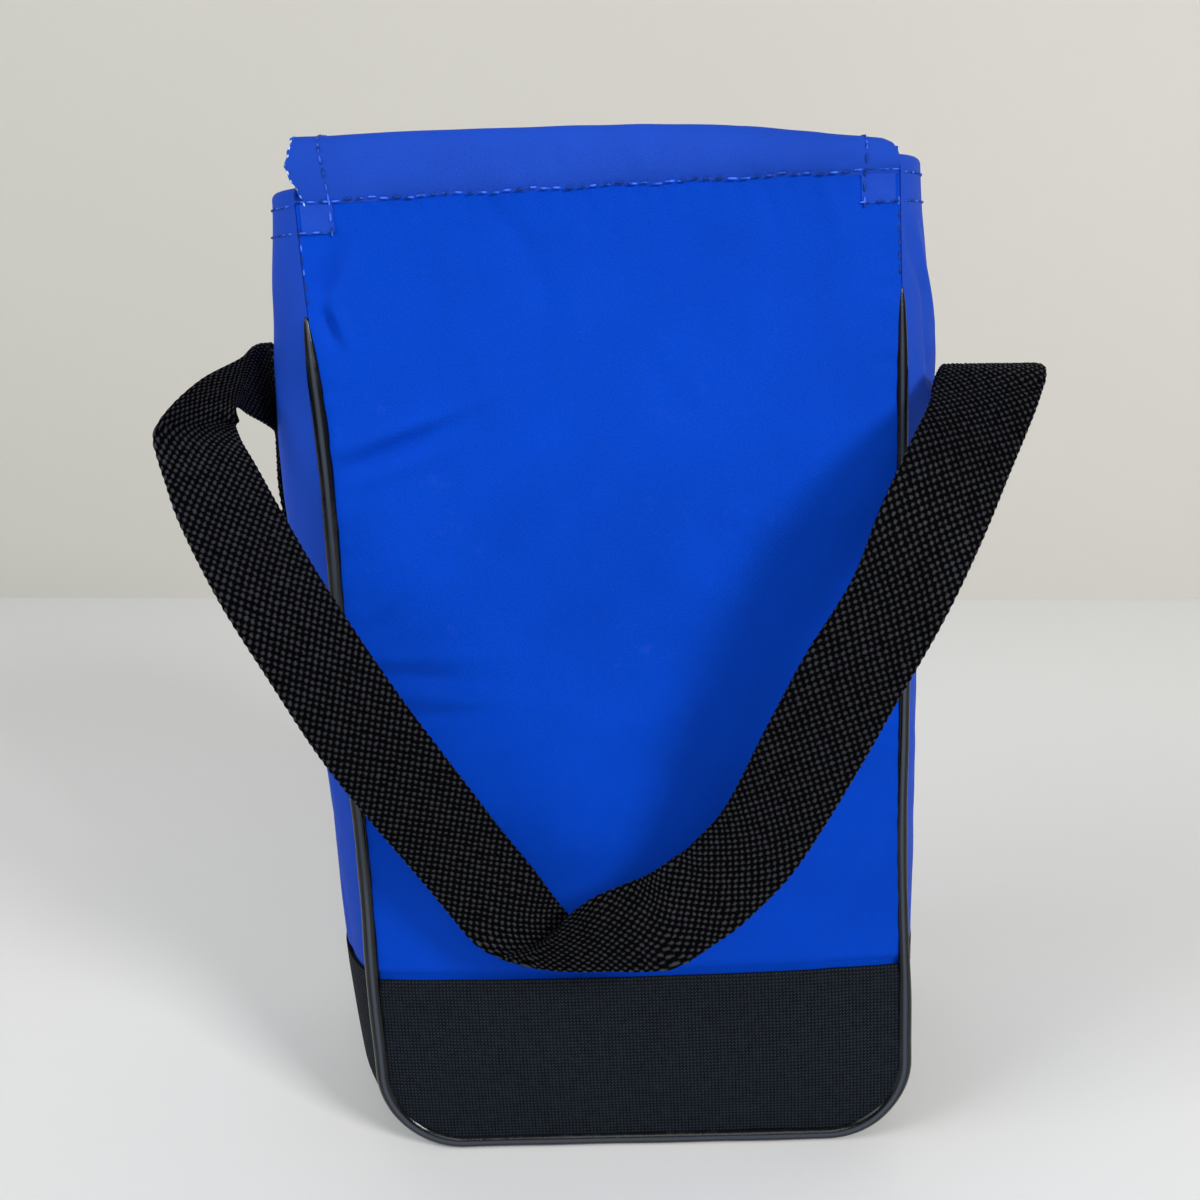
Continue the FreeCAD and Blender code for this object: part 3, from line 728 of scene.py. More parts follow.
def twisted_thread(name, colour):
    """Sewing thread, paler where its twist catches the light."""
    f = Finish(name)
    twist = f.noise(2600.0, 2.0)
    # Pale flecks painted on the thread as highlights where its twist catches the light.
    highlight_fleck = f.ramp(f.noise(380.0, 2.0), 0.46, 0.60)
    pale = tuple(min(channel * 1.9 + 0.03, 1.0) for channel in colour)
    tone = f.mix(f.ramp(twist, 0.35, 0.65), shade(colour, 0.25), shade(colour, 0.7))
    f.surface(
        Base_Color=f.mix(highlight_fleck, tone, pale),
        Roughness=f.ramp(twist, 0.3, 0.7, 0.5, 0.7), Specular_IOR_Level=0.12,
    )
    f.bumps((twist, 0.00008),)
    return f.material


def finish(kind):
    """The named finish, made the first time that it is asked for."""
    name = "finish_" + kind
    if name in bpy.data.materials:
        return bpy.data.materials[name]
    c = colours()
    makers = {
        "cloth": lambda: coated_cloth(name, tuple(c.cloth)),
        # Flap and gusset cloth, paled as painted sheen.
        "sheen_paled_cloth": lambda: coated_cloth(name, tuple(c.sheen_paled_cloth)),
        "canvas": lambda: basket_canvas(name, tuple(c.canvas)),
        "webbing": lambda: ribbed_webbing(name, tuple(c.webbing)),
        "piping": lambda: glossy_vinyl(name, tuple(c.piping)),
        "lining": lambda: foil_film(name, tuple(c.lining)),
        "foam": lambda: closed_foam(name),
        "board": lambda: stiff_board(name),
        "binding": lambda: woven_tape(name, (0.016, 0.016, 0.018), 0.0009, False),
        "loops": lambda: woven_tape(name, (0.012, 0.012, 0.014), 0.0012, True),
        "hooks": lambda: woven_tape(name, (0.014, 0.014, 0.016), 0.0016, False),
        "thread": lambda: twisted_thread(name, tuple(c.thread)),
        "strap_thread": lambda: twisted_thread(name, (0.012, 0.012, 0.015)),
        "overcast": lambda: twisted_thread(name, (0.25, 0.36, 0.62)),
    }
    return makers[kind]()


# ---------------------------------------------------------------- shape of the bag


def half_depth(z):
    """From the bag's middle to the outer face of a panel at height z."""
    s = bag()
    return s.base_depth / 2 - (s.base_depth - s.mouth_depth) / 2 * z / s.mouth_height


def seam_reach(z):
    """Half width of the panels at height z, inside their rounded lower corners."""
    s = bag()
    lift = np.clip(s.corner_radius - z, 0, s.corner_radius)
    return s.panel_width / 2 - s.corner_radius + np.sqrt(s.corner_radius**2 - lift**2)


def seam_route(high, spacing=ROW_STEP):
    """Points (x, z) and outward directions down the left seam, under the bag and up."""
    s = bag()
    side, radius = s.panel_width / 2, s.corner_radius
    quarter = np.linspace(0, math.pi / 2, 28)
    down = np.arange(high, radius, -spacing)
    flat = np.arange(-side + radius, side - radius, spacing)[1:]
    left = np.stack([np.full_like(down, -side), down], 1)
    turn = np.stack([-side + radius - radius * np.cos(quarter),
                     radius - radius * np.sin(quarter)], 1)
    half = np.concatenate([left, turn])
    points = np.concatenate([half, np.stack([flat, 0 * flat], 1), half[::-1] * (-1, 1)])
    centre = np.stack([np.clip(points[:, 0], -side + radius, side - radius),
                       np.maximum(points[:, 1], radius)], 1)
    return points, (points - centre) / radius


def back_fullness(x, z):
    """How far the back panel swells out of its plane: crown, quilted edges and folds."""
    s = bag()
    share = np.clip(np.abs(x) / seam_reach(z), 0, 1)
    flatter = 1 - 0.75 * step(0.16, s.hem_height, z)
    crown = 2.6 * MM * (1 - share**2.6) * step(0, 0.030, z) * flatter
    edge = step(0, 5 * MM, seam_reach(z) - np.abs(x)) * step(0, 3 * MM, s.hem_height - z)
    seam = -0.7 * MM * np.exp(-(((z - s.band_height) / (2.2 * MM)) ** 2))
    pull = 0.22 * MM * np.sin(2 * math.pi * x / (2 * s.stitch_pitch)) * np.exp(
        -((s.hem_height - z) / (5 * MM)) ** 2
    )
    pucker = 0.30 * MM * np.sin(2 * math.pi * z / (9 * MM) + np.sin(z * 310)) * np.exp(
        -((seam_reach(z) - np.abs(x)) / (5 * MM)) ** 2
    )
    folds = pressed(BACK_FOLDS, x, z) + pressed(BAND_FOLDS, x, z)
    return crown + seam + (folds + pull + pucker) * edge


def front_fullness(x, z):
    """The same for the front panel, which stays flat under the flap."""
    s = bag()
    share = np.clip(np.abs(x) / seam_reach(z), 0, 1)
    open_part = 1 - step(0.185, 0.208, z)
    crown = 2.8 * MM * (1 - share**2.6) * step(0, 0.030, z) * (1 - step(0.12, 0.212, z))
    seam = -0.7 * MM * np.exp(-(((z - s.band_height) / (2.2 * MM)) ** 2))
    edge = step(0, 5 * MM, seam_reach(z) - np.abs(x))
    return crown + seam + pressed(FRONT_FOLDS, x, z) * edge * open_part


PANELS = ((BACK, "back", back_fullness), (FRONT, "front", front_fullness))
GUSSETS = ((LEFT, "left", LEFT_FOLDS), (RIGHT, "right", RIGHT_FOLDS))


def panel_grid(side, z_rows, fullness, columns=131):
    """Grid of points over a panel's outer face, and its normals and cloth coordinates."""
    z = np.asarray(z_rows)[:, None]
    x = np.linspace(-1, 1, columns)[None, :] * (seam_reach(z) - 0.4 * MM)
    z = np.broadcast_to(z, x.shape)
    y = side * (half_depth(z) + fullness(x, z))
    grid = np.stack([x, y, z], -1)
    grid[..., 1] += side * rippled(grid, 0.018, 0.16 * MM, 2.0 + side)
    return grid, outward(grid, BAG_HEART), np.stack([x, z], -1)


def turned_over(grid, uv, inward):
    """Rows added to a grid's top: the cloth rolls over the padding and hangs inside."""
    top = grid[0]
    rows, run = [], []
    for angle in np.linspace(0, math.pi, 13)[1:]:
        across = math.copysign(abs(math.cos(angle)) ** HEM_SQUARENESS, math.cos(angle))
        rise = np.array([0, 0, HEM_ROLL * math.sin(angle) ** HEM_SQUARENESS])
        rows.append(top + inward * HEM_ROLL * (1 - across) + rise)
        run.append(HEM_ROLL * angle)
    for drop in np.linspace(0, HEM_TAIL, 6)[1:]:
        rows.append(top + inward * 2 * HEM_ROLL - np.array([0, 0, drop]))
        run.append(HEM_ROLL * math.pi + drop)
    extra = np.stack(rows[::-1])
    run = np.array(run[::-1])[:, None]
    extra_uv = np.stack([np.broadcast_to(uv[0, :, 0], extra.shape[:2]), uv[0, :, 1] + run], -1)
    return np.concatenate([extra, grid]), np.concatenate([extra_uv, uv])


def gusset_grid(route, facing, folds, columns=57):
    """Grid over the gusset along a stretch of the seam route, swelling out between panels."""
    t = np.linspace(-1, 1, columns)[None, :]
    x0, z0 = route[:, :1], route[:, 1:]
    left = through(LEFT_FULLNESS, z0 / MM) * MM
    right = through(RIGHT_FULLNESS, z0 / MM) * MM
    swell = np.where(x0 < 0, left, right) * np.abs(facing[:, :1]) * (1 - np.abs(t) ** 3)
    y = t * (half_depth(z0) - 0.3 * MM)
    near_seam = step(0, 5 * MM, half_depth(z0) - np.abs(y))
    swell = swell + pressed(folds, y, np.broadcast_to(z0, y.shape)) * near_seam
    x = x0 + facing[:, :1] * swell
    z = np.maximum(z0 + facing[:, 1:] * swell, 0.0)
    grid = np.stack([x, y, z], -1)
    run = distances(route)
    uv = np.stack(np.broadcast_arrays(y, run[:, None]), -1)
    return grid, outward(grid, (0, 0, 0.10)), uv


def drawn_in(z):
    """How far blue cloth at height z is drawn in, where it runs down behind the base band."""
    band = bag().band_height
    return 0.9 * MM * (1 - step(band, band + 2 * MM, z))


def band_rows():
    """Heights of a base panel's rows, close together round its lower corners."""
    s = bag()
    foot = 0.8 * MM
    turn = np.linspace(0.26, math.pi / 2, 26)
    curve = foot + s.corner_radius * (1 - np.cos(turn))
    straight = np.arange(s.corner_radius + foot, s.band_height, ROW_STEP)[1:]
    return np.concatenate([curve, straight])


def upper_rows(low, high):
    """Heights of an upper panel's rows, from its top down."""
    return np.linspace(high, low, int((high - low) / ROW_STEP))


# ---------------------------------------------------------------- outer cloth


def sew_panels():
    """Back and front panels: blue cloth above a dark base band."""
    s = bag()
    for side, name, fullness in PANELS:
        top = s.hem_height if side == BACK else s.mouth_height
        tucked = s.band_height - SEAM_TUCK
        grid, _, uv = panel_grid(side, upper_rows(tucked, top), fullness)
        grid[..., 1] -= side * drawn_in(grid[..., 2])
        if side == FRONT:
            grid, uv = turned_over(grid, uv, np.array([0, -1.0, 0]))
        else:
            tuck = np.stack([grid[0] + (0, depth * MM, rise * MM)
                             for depth, rise in ((1.9, 6.0), (1.6, 3.5), (0.9, 1.4))])
            tuck_uv = np.stack([uv[0] + (0, rise * MM) for rise in (6.0, 3.5, 1.4)])
            grid, uv = np.concatenate([tuck, grid]), np.concatenate([tuck_uv, uv])
        if side == FRONT:
            normals = grid_normals(grid)
            normals = normals * np.sign(normals[60, 60, 1])
        else:
            normals = outward(grid, BAG_HEART)
        piece = layer(name + "_panel_cloth", grid, normals, uv, 0, s.cloth_thickness, finish("cloth"))
        finished(piece, "blue_cloth", "bag", name + "_panel_upper")

        grid, normals, uv = panel_grid(side, band_rows(), fullness)
        grid[..., 1] += side * BAND_RELIEF
        piece = layer(name + "_band_cloth", grid, normals, uv, 0, s.cloth_thickness, finish("canvas"))
        finished(piece, "black_canvas", "bag", name + "_panel_base")


def side_route(side, high, low, spacing=ROW_STEP):
    """Stretch of the seam route straight down one side, and its outward directions."""
    z = np.arange(high, low, -spacing)
    x = np.full_like(z, side * bag().panel_width / 2)
    return np.stack([x, z], 1), np.stack([0 * z + side, 0 * z], 1)


def sew_gussets():
    """Blue side gussets with a rolled top hem, and the dark gusset under the bag."""
    s = bag()
    for side, name, folds in GUSSETS:
        route, facing = side_route(side, s.mouth_height, s.band_height - SEAM_TUCK)
        grid, _, uv = gusset_grid(route, facing, folds)
        grid[..., 0] -= side * drawn_in(grid[..., 2])
        grid[..., 0] += side * rippled(grid, 0.02, 0.25 * MM, 5.0 + side)
        grid, uv = turned_over(grid, uv, np.array([-side, 0, 0.0]))
        normals = grid_normals(grid)
        normals = normals * np.sign(normals[60, 28, 0] * side)
        # The gussets take the paler cloth colour: painted sheen.
        piece = layer(name + "_gusset_cloth", grid, normals, uv, 0, s.cloth_thickness,
                      finish("sheen_paled_cloth"))
        finished(piece, "blue_cloth", "bag", "side_gusset_" + name)

    route, facing = seam_route(s.band_height)
    grid, normals, uv = gusset_grid(route, facing, [])
    grid = grid + facing[:, None, :1] * (BAND_RELIEF, 0, 0)
    piece = layer("base_gusset_cloth", grid, normals, uv, 0, s.cloth_thickness, finish("canvas"))
    finished(piece, "black_canvas", "bag", "base_gusset")


# ---------------------------------------------------------------- padding, lining, seams


def seam_dip(z):
    """How far the padding is pressed in behind the seam between cloth and base band."""
    return 1.9 * MM * np.exp(-(((z - bag().band_height + 1 * MM) / (3.4 * MM)) ** 2))


def inner_grids(trim):
    """Trimmed outer grids of the five walls, for the layers inside them."""
    walls = {}
    for side, name, fullness in PANELS:
        rows = np.linspace(WALL_TOP, 7 * MM, 130)
        grid, normals, uv = panel_grid(side, rows, fullness, 77)
        grid = grid - normals * seam_dip(rows)[:, None, None]
        walls[name] = [part[:, 4:-4] for part in (grid, normals, uv)]
    for side, name, folds in GUSSETS:
        route, facing = side_route(side, WALL_TOP, WALL_SPLIT, 2 * MM)
        grid, normals, uv = gusset_grid(route, facing, folds)
        grid = grid - normals * seam_dip(route[:, 1])[:, None, None]
        walls[name] = [part[:, trim:-trim] for part in (grid, normals, uv)]
    route, facing = seam_route(WALL_SPLIT, 2 * MM)
    walls["base"] = [part[:, trim:-trim] for part in gusset_grid(route, facing, [])]
    return walls


def pack_padding():
    """Foam between cloth and lining, and the stiff board under it."""
    s = bag()
    start = s.cloth_thickness + 0.1 * MM
    end = start + s.padding_thickness
    nodes = {"back": "back_foam", "front": "front_foam", "left": "side_foam_left",
             "right": "side_foam_right", "base": "base_foam"}
    for name, (grid, normals, uv) in inner_grids(4).items():
        piece = layer(name + "_padding", grid, normals, uv, start, end, finish("foam"))
        finished(piece, "foam_padding", "bag", nodes[name])
    wear(frame["nodes"]["base_board"], "board")


def wear(node, kind):
    """Give a construction part a finish."""
    node.data.materials.clear()
    node.data.materials.append(finish(kind))


def seam_directions(facing):
    """Outward and front-to-back directions at each point of a seam route."""
    wide = np.stack([facing[:, 0], 0 * facing[:, 0], facing[:, 1]], 1)
    return wide, np.tile([0, 1.0, 0], (len(facing), 1))


def hang_lining():
    """Film inside the five walls, with tape over the seam edges."""
    s = bag()
    start = s.cloth_thickness + s.padding_thickness + 0.2 * MM
    end = start + s.lining_thickness
    nodes = {"back": "back_lining", "front": "front_lining", "left": "side_lining_left",
             "right": "side_lining_right", "base": "base_lining"}
    for name, (grid, normals, uv) in inner_grids(3).items():
        crinkle = rippled(grid, 0.012, 0.35 * MM, 9.0)[..., None]
        grid = grid - normals * (start + np.abs(crinkle))
        piece = layer(name + "_lining_film", grid, normals, uv, 0, s.lining_thickness,
                      finish("lining"))
        finished(piece, "lining", "bag", nodes[name])

    inset = end + 4.2 * MM
    for side, name, _ in PANELS:
        points, facing = seam_route(WALL_TOP)
        points = points - facing * inset
        y = side * (half_depth(points[:, 1]) - end - 1.0 * MM)
        path = np.stack([points[:, 0], y, points[:, 1]], 1)
        wide, thick = seam_directions(facing)
        size = np.ones(len(y))
        piece = swept(name + "_seam_tape", path, wide, thick, 4.0 * MM * size, 0.8 * MM * size,
                      finish("binding"))
        finished(piece, "binding", "bag", name + "_seam_binding")


def rolled_away(x, z):
    """Where the right-hand seams have rolled round, so that less of the cord shows."""
    return step(0.02, 0.06, x) * step(0.03, 0.07, z)


def run_piping():
    """Glossy cord in both panel seams, tapering away where it enters the seam."""
    s = bag()
    low = s.piping_radius + 0.1 * MM
    for side, name, _ in PANELS:
        points, facing = seam_route(s.piping_top - low, 0.9 * MM)
        x, z = points[:, 0], points[:, 1] + low
        drift = 0.35 * MM * np.sin(z * 61 + side) * step(0.03, 0.06, z)
        y = side * (half_depth(z) - 0.6 * MM + 0.2 * MM * np.sin(z * 90 + x * 40))
        path = np.stack([x + (drift - 0.5 * MM * rolled_away(x, z)) * np.sign(x), y, z], 1)
        share = np.clip((s.piping_top - z) / (17 * MM), 0, 1)
        radius = s.piping_radius * (0.16 + 0.84 * share**0.55)
        radius = radius * (1 - 0.24 * rolled_away(x, z))
        radius = radius * (1 + 0.025 * np.sin(z * 260 + x * 200))
        wide, thick = seam_directions(facing)
        piece = swept(name + "_piping_cord", path, wide, thick, radius, radius, finish("piping"), 18)
        finished(piece, "piping", "bag", name + "_piping")


# ---------------------------------------------------------------- flap


def flap_grid(section, columns=131):
    """Grid over a stretch of the flap's outer face, with each point's depth of layers."""
    s = bag()
    params = even_params(section, 1.15)
    course = catmull(section, params) * MM
    run = distances(course)[:, None]
    rear = section[0][0] < 0
    if not rear:
        run = run + 46 * MM
    left = through(FLAP_LEFT_EDGE, run / MM) * MM
    right = through(FLAP_RIGHT_EDGE, run / MM) * MM
    scallop = 0.3 * MM * np.sin(run / (0.55 * MM)) * (1 - step(16 * MM, 20 * MM, run))
    scallop = scallop + 0.25 * MM * np.sin(run / (1.9 * MM)) * (1 - step(16 * MM, 20 * MM, run))
    low, corner = FLAP_FALL[-1][1] * MM, 12 * MM
    lift = np.clip(corner - (course[:, 1:] - low), 0, corner) if not rear else 0 * run
    narrowing = corner - np.sqrt(corner**2 - lift**2)
    share = np.linspace(0, 1, columns)[None, :]
    x = (left + scallop * (share < 0.02) + narrowing) * (1 - share) + (right - narrowing) * share
    z0, y0 = course[:, 1:], course[:, :1]
    sag = through(FLAP_SAG, x / MM) * MM
    if rear:
        amount = step(0.266, 0.285, z0)
        folds = pressed(FLAP_REAR_FOLDS, x, z0)
    else:
        amount = (1 - 0.75 * step(0, 0.036, y0)) * step(0.215, 0.275, z0)
        folds = pressed(FLAP_FRONT_FOLDS, x, z0)
    y = np.broadcast_to(y0, x.shape) + (-folds if rear else folds)
    grid = np.stack([x, y, z0 - sag * amount], -1)
    normals = outward(grid, (0, 0, 0.24))
    grid = grid + normals * rippled(grid, 0.022, 0.35 * MM, 4.0)[..., None]
    side_share = step(0, 9 * MM, s.panel_width / 2 - np.abs(x))
    depth = 1.3 * MM + 2.6 * MM * side_share
    if rear:
        depth = 0.95 * MM + (depth - 0.95 * MM) * step(0.276, 0.285, z0)
    else:
        depth = 1.3 * MM + (depth - 1.3 * MM) * step(0, 9 * MM, z0 - low)
    uv = np.stack(np.broadcast_arrays(x, run), -1)
    return grid, normals, depth[..., None], uv


def bend(piece):
    """Bake the transform of a piece that crosses a fold between two bodies into its mesh."""
    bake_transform(piece)


def bend_rear(piece):
    """Bake the transform of a piece over the back fold, from the bag to the flap's roof."""
    bend(piece)


def bend_front(piece):
    """Bake the transform of a piece over the front fold, from the flap's roof to its drop."""
    bend(piece)


def joined(*pieces):
    """One object from several meshes."""
    with bpy.context.temp_override(active_object=pieces[0], selected_editable_objects=pieces):
        bpy.ops.object.join()
    return pieces[0]


def hem_tab(side):
    """End of the flap's side hem, sewn down on the back panel beside the seam."""
    s = bag()
    z = np.linspace(s.hem_height + 0.6 * MM, s.hem_height - 7.4 * MM, 10)[:, None]
    x = side * np.linspace(TAB_INNER, TAB_OUTER, 9)[None, :] * MM
    x, z = np.broadcast_arrays(x, z)
    y = -(half_depth(z) + back_fullness(x, z) + 0.30 * MM)
    grid = np.stack([x, y, z], -1)
    normals = outward(grid, BAG_HEART)
    uv = np.stack([x, z], -1)
    # The tab takes the paler cloth colour: painted sheen.
    return layer("hem_tab", grid, normals, uv, 0, 0.4 * MM, finish("sheen_paled_cloth"))


def sew_flap():
    """Cloth, padding and lining of the flap, shaped over both folds."""
    s = bag()
    stretches = (
        ("rear", FLAP_RISER, bend_rear, "flap_top"),
        ("front", FLAP_FALL, bend_front, "flap_front"),
    )
    for name, section, over, part in stretches:
        grid, normals, depth, uv = flap_grid(section)
        # The flap takes the paler cloth colour: painted sheen.
        cloth = layer("flap_" + name + "_cloth", grid, normals, uv, 0, s.cloth_thickness,
                      finish("sheen_paled_cloth"))
        if name == "rear":
            cloth = joined(cloth, hem_tab(LEFT), hem_tab(RIGHT))
        finished(cloth, "blue_cloth", None, part + "_shell")
        over(cloth)

        inner = grid - normals * (depth - s.lining_thickness)
        film = layer("flap_" + name + "_film", inner, normals, uv, 0, s.lining_thickness,
                     finish("lining"))
        finished(film, "lining", None, part + "_lining")
        over(film)

        rows = slice(22, -1) if name == "rear" else slice(1, -7)
        middle = (rows, slice(9, -9))
        top = (grid - normals * (s.cloth_thickness + 0.1 * MM))[middle]
        under = (grid - normals * (depth - s.lining_thickness - 0.1 * MM))[middle]
        pad = shell("flap_" + name + "_padding", top, under, uv[middle], finish("foam"))
        finished(pad, "foam_padding", None, part + "_foam")
        over(pad)


# ---------------------------------------------------------------- repeats


def socket_in(tree, name, kind, default=None):
    """New named input of a geometry tree."""
    socket = tree.interface.new_socket(name=name, in_out="INPUT", socket_type=kind)
    if default is not None:
        socket.default_value = default
    return socket


def stitch_tree():
    """Geometry nodes that lay rounded stitches end to end along the edges of a mesh."""
    name = "Stitch Row"
    if name in bpy.data.node_groups:
        return bpy.data.node_groups[name]
    tree = bpy.data.node_groups.new(name, "GeometryNodeTree")
    socket_in(tree, "Geometry", "NodeSocketGeometry")
    socket_in(tree, "Pitch", "NodeSocketFloat", 0.0031)
    socket_in(tree, "Stitch Length", "NodeSocketFloat", 0.0025)
    socket_in(tree, "Stitch Radius", "NodeSocketFloat", 0.0003)
    socket_in(tree, "Unevenness", "NodeSocketFloat", 0.12)
    socket_in(tree, "Seed", "NodeSocketInt", 4)
    socket_in(tree, "Thread", "NodeSocketMaterial")
    tree.interface.new_socket(name="Geometry", in_out="OUTPUT", socket_type="NodeSocketGeometry")
    nodes, links = tree.nodes, tree.links
    given, result = nodes.new("NodeGroupInput"), nodes.new("NodeGroupOutput")
    curve = nodes.new("GeometryNodeMeshToCurve")
    spaced = nodes.new("GeometryNodeResampleCurve")
    spaced.mode = "LENGTH"
    bead = nodes.new("GeometryNodeMeshUVSphere")
    bead.inputs["Segments"].default_value = 7
    bead.inputs["Rings"].default_value = 5
    bead.inputs["Radius"].default_value = 1.0
    half = nodes.new("ShaderNodeMath")
    half.operation = "MULTIPLY"
    half.inputs[1].default_value = 0.5
    size = nodes.new("ShaderNodeCombineXYZ")
    stretched = nodes.new("GeometryNodeTransform")
    tangent = nodes.new("GeometryNodeInputTangent")
    aligned = nodes.new("FunctionNodeAlignRotationToVector")
    aligned.axis = "Z"
    less = nodes.new("ShaderNodeMath")
    less.operation = "SUBTRACT"
    less.inputs[0].default_value = 1.0
    more = nodes.new("ShaderNodeMath")
    more.operation = "ADD"
    more.inputs[0].default_value = 1.0
    chance = nodes.new("FunctionNodeRandomValue")
    placed = nodes.new("GeometryNodeInstanceOnPoints")
    real = nodes.new("GeometryNodeRealizeInstances")
    dressed = nodes.new("GeometryNodeSetMaterial")
    joins = [
        (given.outputs["Geometry"], curve.inputs["Mesh"]),
        (curve.outputs["Curve"], spaced.inputs["Curve"]),
        (given.outputs["Pitch"], spaced.inputs["Length"]),
        (given.outputs["Stitch Length"], half.inputs[0]),
        (given.outputs["Stitch Radius"], size.inputs["X"]),
        (given.outputs["Stitch Radius"], size.inputs["Y"]),
        (half.outputs[0], size.inputs["Z"]),
        (bead.outputs["Mesh"], stretched.inputs["Geometry"]),
        (size.outputs["Vector"], stretched.inputs["Scale"]),
        (tangent.outputs["Tangent"], aligned.inputs["Vector"]),
        (given.outputs["Unevenness"], less.inputs[1]),
        (given.outputs["Unevenness"], more.inputs[1]),
        (less.outputs[0], chance.inputs[2]),
        (more.outputs[0], chance.inputs[3]),
        (given.outputs["Seed"], chance.inputs["Seed"]),
        (spaced.outputs["Curve"], placed.inputs["Points"]),
        (stretched.outputs["Geometry"], placed.inputs["Instance"]),
        (aligned.outputs["Rotation"], placed.inputs["Rotation"]),
        (chance.outputs[1], placed.inputs["Scale"]),
        (placed.outputs["Instances"], real.inputs["Geometry"]),
        (real.outputs["Geometry"], dressed.inputs["Geometry"]),
        (given.outputs["Thread"], dressed.inputs["Material"]),
        (dressed.outputs["Geometry"], result.inputs["Geometry"]),
    ]
    for start, end in joins:
        links.new(start, end)
    return tree


def stitches(name, paths, kind, length=2.5 * MM, radius=0.30 * MM, pitch=None, seed=4):
    """One mesh of stitches along paths, each an array of points."""
    points, edges = [], []
    for path in paths:
        first = len(points)
        points += np.asarray(path).tolist()
        edges += [(first + i, first + i + 1) for i in range(len(path) - 1)]
    mesh = bpy.data.meshes.new(name + "_rows")
    mesh.from_pydata(points, edges, [])
    rows = linked(name + "_rows", mesh)
    tree = stitch_tree()
    values = {"Pitch": pitch or bag().stitch_pitch, "Stitch Length": length,
              "Stitch Radius": radius, "Seed": seed, "Thread": finish(kind)}
    modifier = rows.modifiers.new("Stitch Row", "NODES")
    modifier.node_group = tree
    for socket in tree.interface.items_tree:
        if socket.in_out == "INPUT" and socket.name in values:
            modifier[socket.identifier] = values[socket.name]
    bpy.context.view_layer.update()
    evaluated = rows.evaluated_get(bpy.context.evaluated_depsgraph_get())
    made = bpy.data.meshes.new_from_object(evaluated)
    made.name = name
    lean_top(made)
    made.polygons.foreach_set("use_smooth", [True] * len(made.polygons))
    piece = linked(name, made)
    bpy.data.objects.remove(rows)
    return piece


def row_on(x, z, side=BACK, lift=0.15 * MM):
    """Stitch row over a panel from arrays of places."""
    fullness = back_fullness if side == BACK else front_fullness
    x, z = np.broadcast_arrays(np.asarray(x, float), np.asarray(z, float))
    return np.stack([x, side * (half_depth(z) + fullness(x, z) + lift), z], -1)


def gusset_row(side, z, folds):
    """Stitch row round the top of a gusset at height z."""
    route, facing = side_route(side, z + 1 * MM, z - 1.5 * MM, 1 * MM)
    grid, _, _ = gusset_grid(route, facing, folds)
    return grid[1, 2:-2] + (side * 0.15 * MM, 0, 0)


def flap_column(grid, high, low):
    """Stitch row along a flap, at x = high millimetres on the roof and low at the back hem."""
    rows = []
    for row in grid:
        x = (low + (high - low) * step(0.270, 0.284, row[:, 2].mean())) * MM
        rows.append([x, np.interp(x, row[:, 0], row[:, 1]), np.interp(x, row[:, 0], row[:, 2])])
    return np.array(rows)


def nearest_column(grid, x):
    """Column of a flap grid nearest to x at its middle row."""
    return int(np.argmin(np.abs(grid[len(grid) // 2, :, 0] - x)))


def hem_rows():
    """Stitch rows of the bag's hems, hem tabs and upper seams."""
    s = bag()
    hem, low = s.hem_height, s.hem_height - HEM_DEPTH
    x = np.linspace(-74.5 * MM, 74.8 * MM, 200)
    waver = 0.25 * MM * np.sin(x * 300) + 0.15 * MM * np.sin(x * 1100)
    paths = [row_on(x, hem + 0.5 * MM + waver, lift=0.75 * MM)]
    for side, _, folds in GUSSETS:
        span = np.linspace(side * TAB_SEAM, side * TAB_OUTER * MM, 12)
        fall = np.linspace(hem + 0.4 * MM, low, 12)
        paths.append(row_on(span, low + 0 * span, lift=0.45 * MM))
        paths.append(row_on(side * TAB_SEAM + 0 * fall, fall, lift=0.45 * MM))
        paths += [gusset_row(side, hem - 0.2 * MM, folds), gusset_row(side, low, folds)]
        seam = np.linspace(low, s.piping_top + 4 * MM, 24)
        beside = side * (s.panel_width / 2 - 0.6 * MM) + 0 * seam
        paths.append(row_on(beside, seam, lift=-0.1 * MM))
    across = np.linspace(-74 * MM, 74 * MM, 120)
    paths.append(row_on(across, s.mouth_height - HEM_DEPTH + 0 * across, FRONT))
    return paths


def flap_rear_rows(grid):
    """Stitch rows down the two side hems of the flap's roof."""
    return [flap_column(grid[1:], -68.6, -67.0), flap_column(grid[1:], 67.6, 67.2)]


def flap_front_rows(grid):
    """Stitch rows round the flap's drop and round the hook tape behind it."""
    hem = [nearest_column(grid, side * 68 * MM) for side in (LEFT, RIGHT)]
    left, right = [nearest_column(grid, side * 48 * MM) for side in (LEFT, RIGHT)]
    heights = grid[:, 65, 2]
    high, low = [int(np.argmin(np.abs(heights - height))) for height in (0.2435, 0.2225)]
    box = [grid[high, left:right + 1], grid[high:low + 1, right],
           grid[low, left:right + 1][::-1], grid[high:low + 1, left][::-1]]
    return [flap_column(grid[:-7], -68, -68), flap_column(grid[:-7], 68, 68),
            grid[-7, hem[0]:hem[1] + 1], np.concatenate(box)]


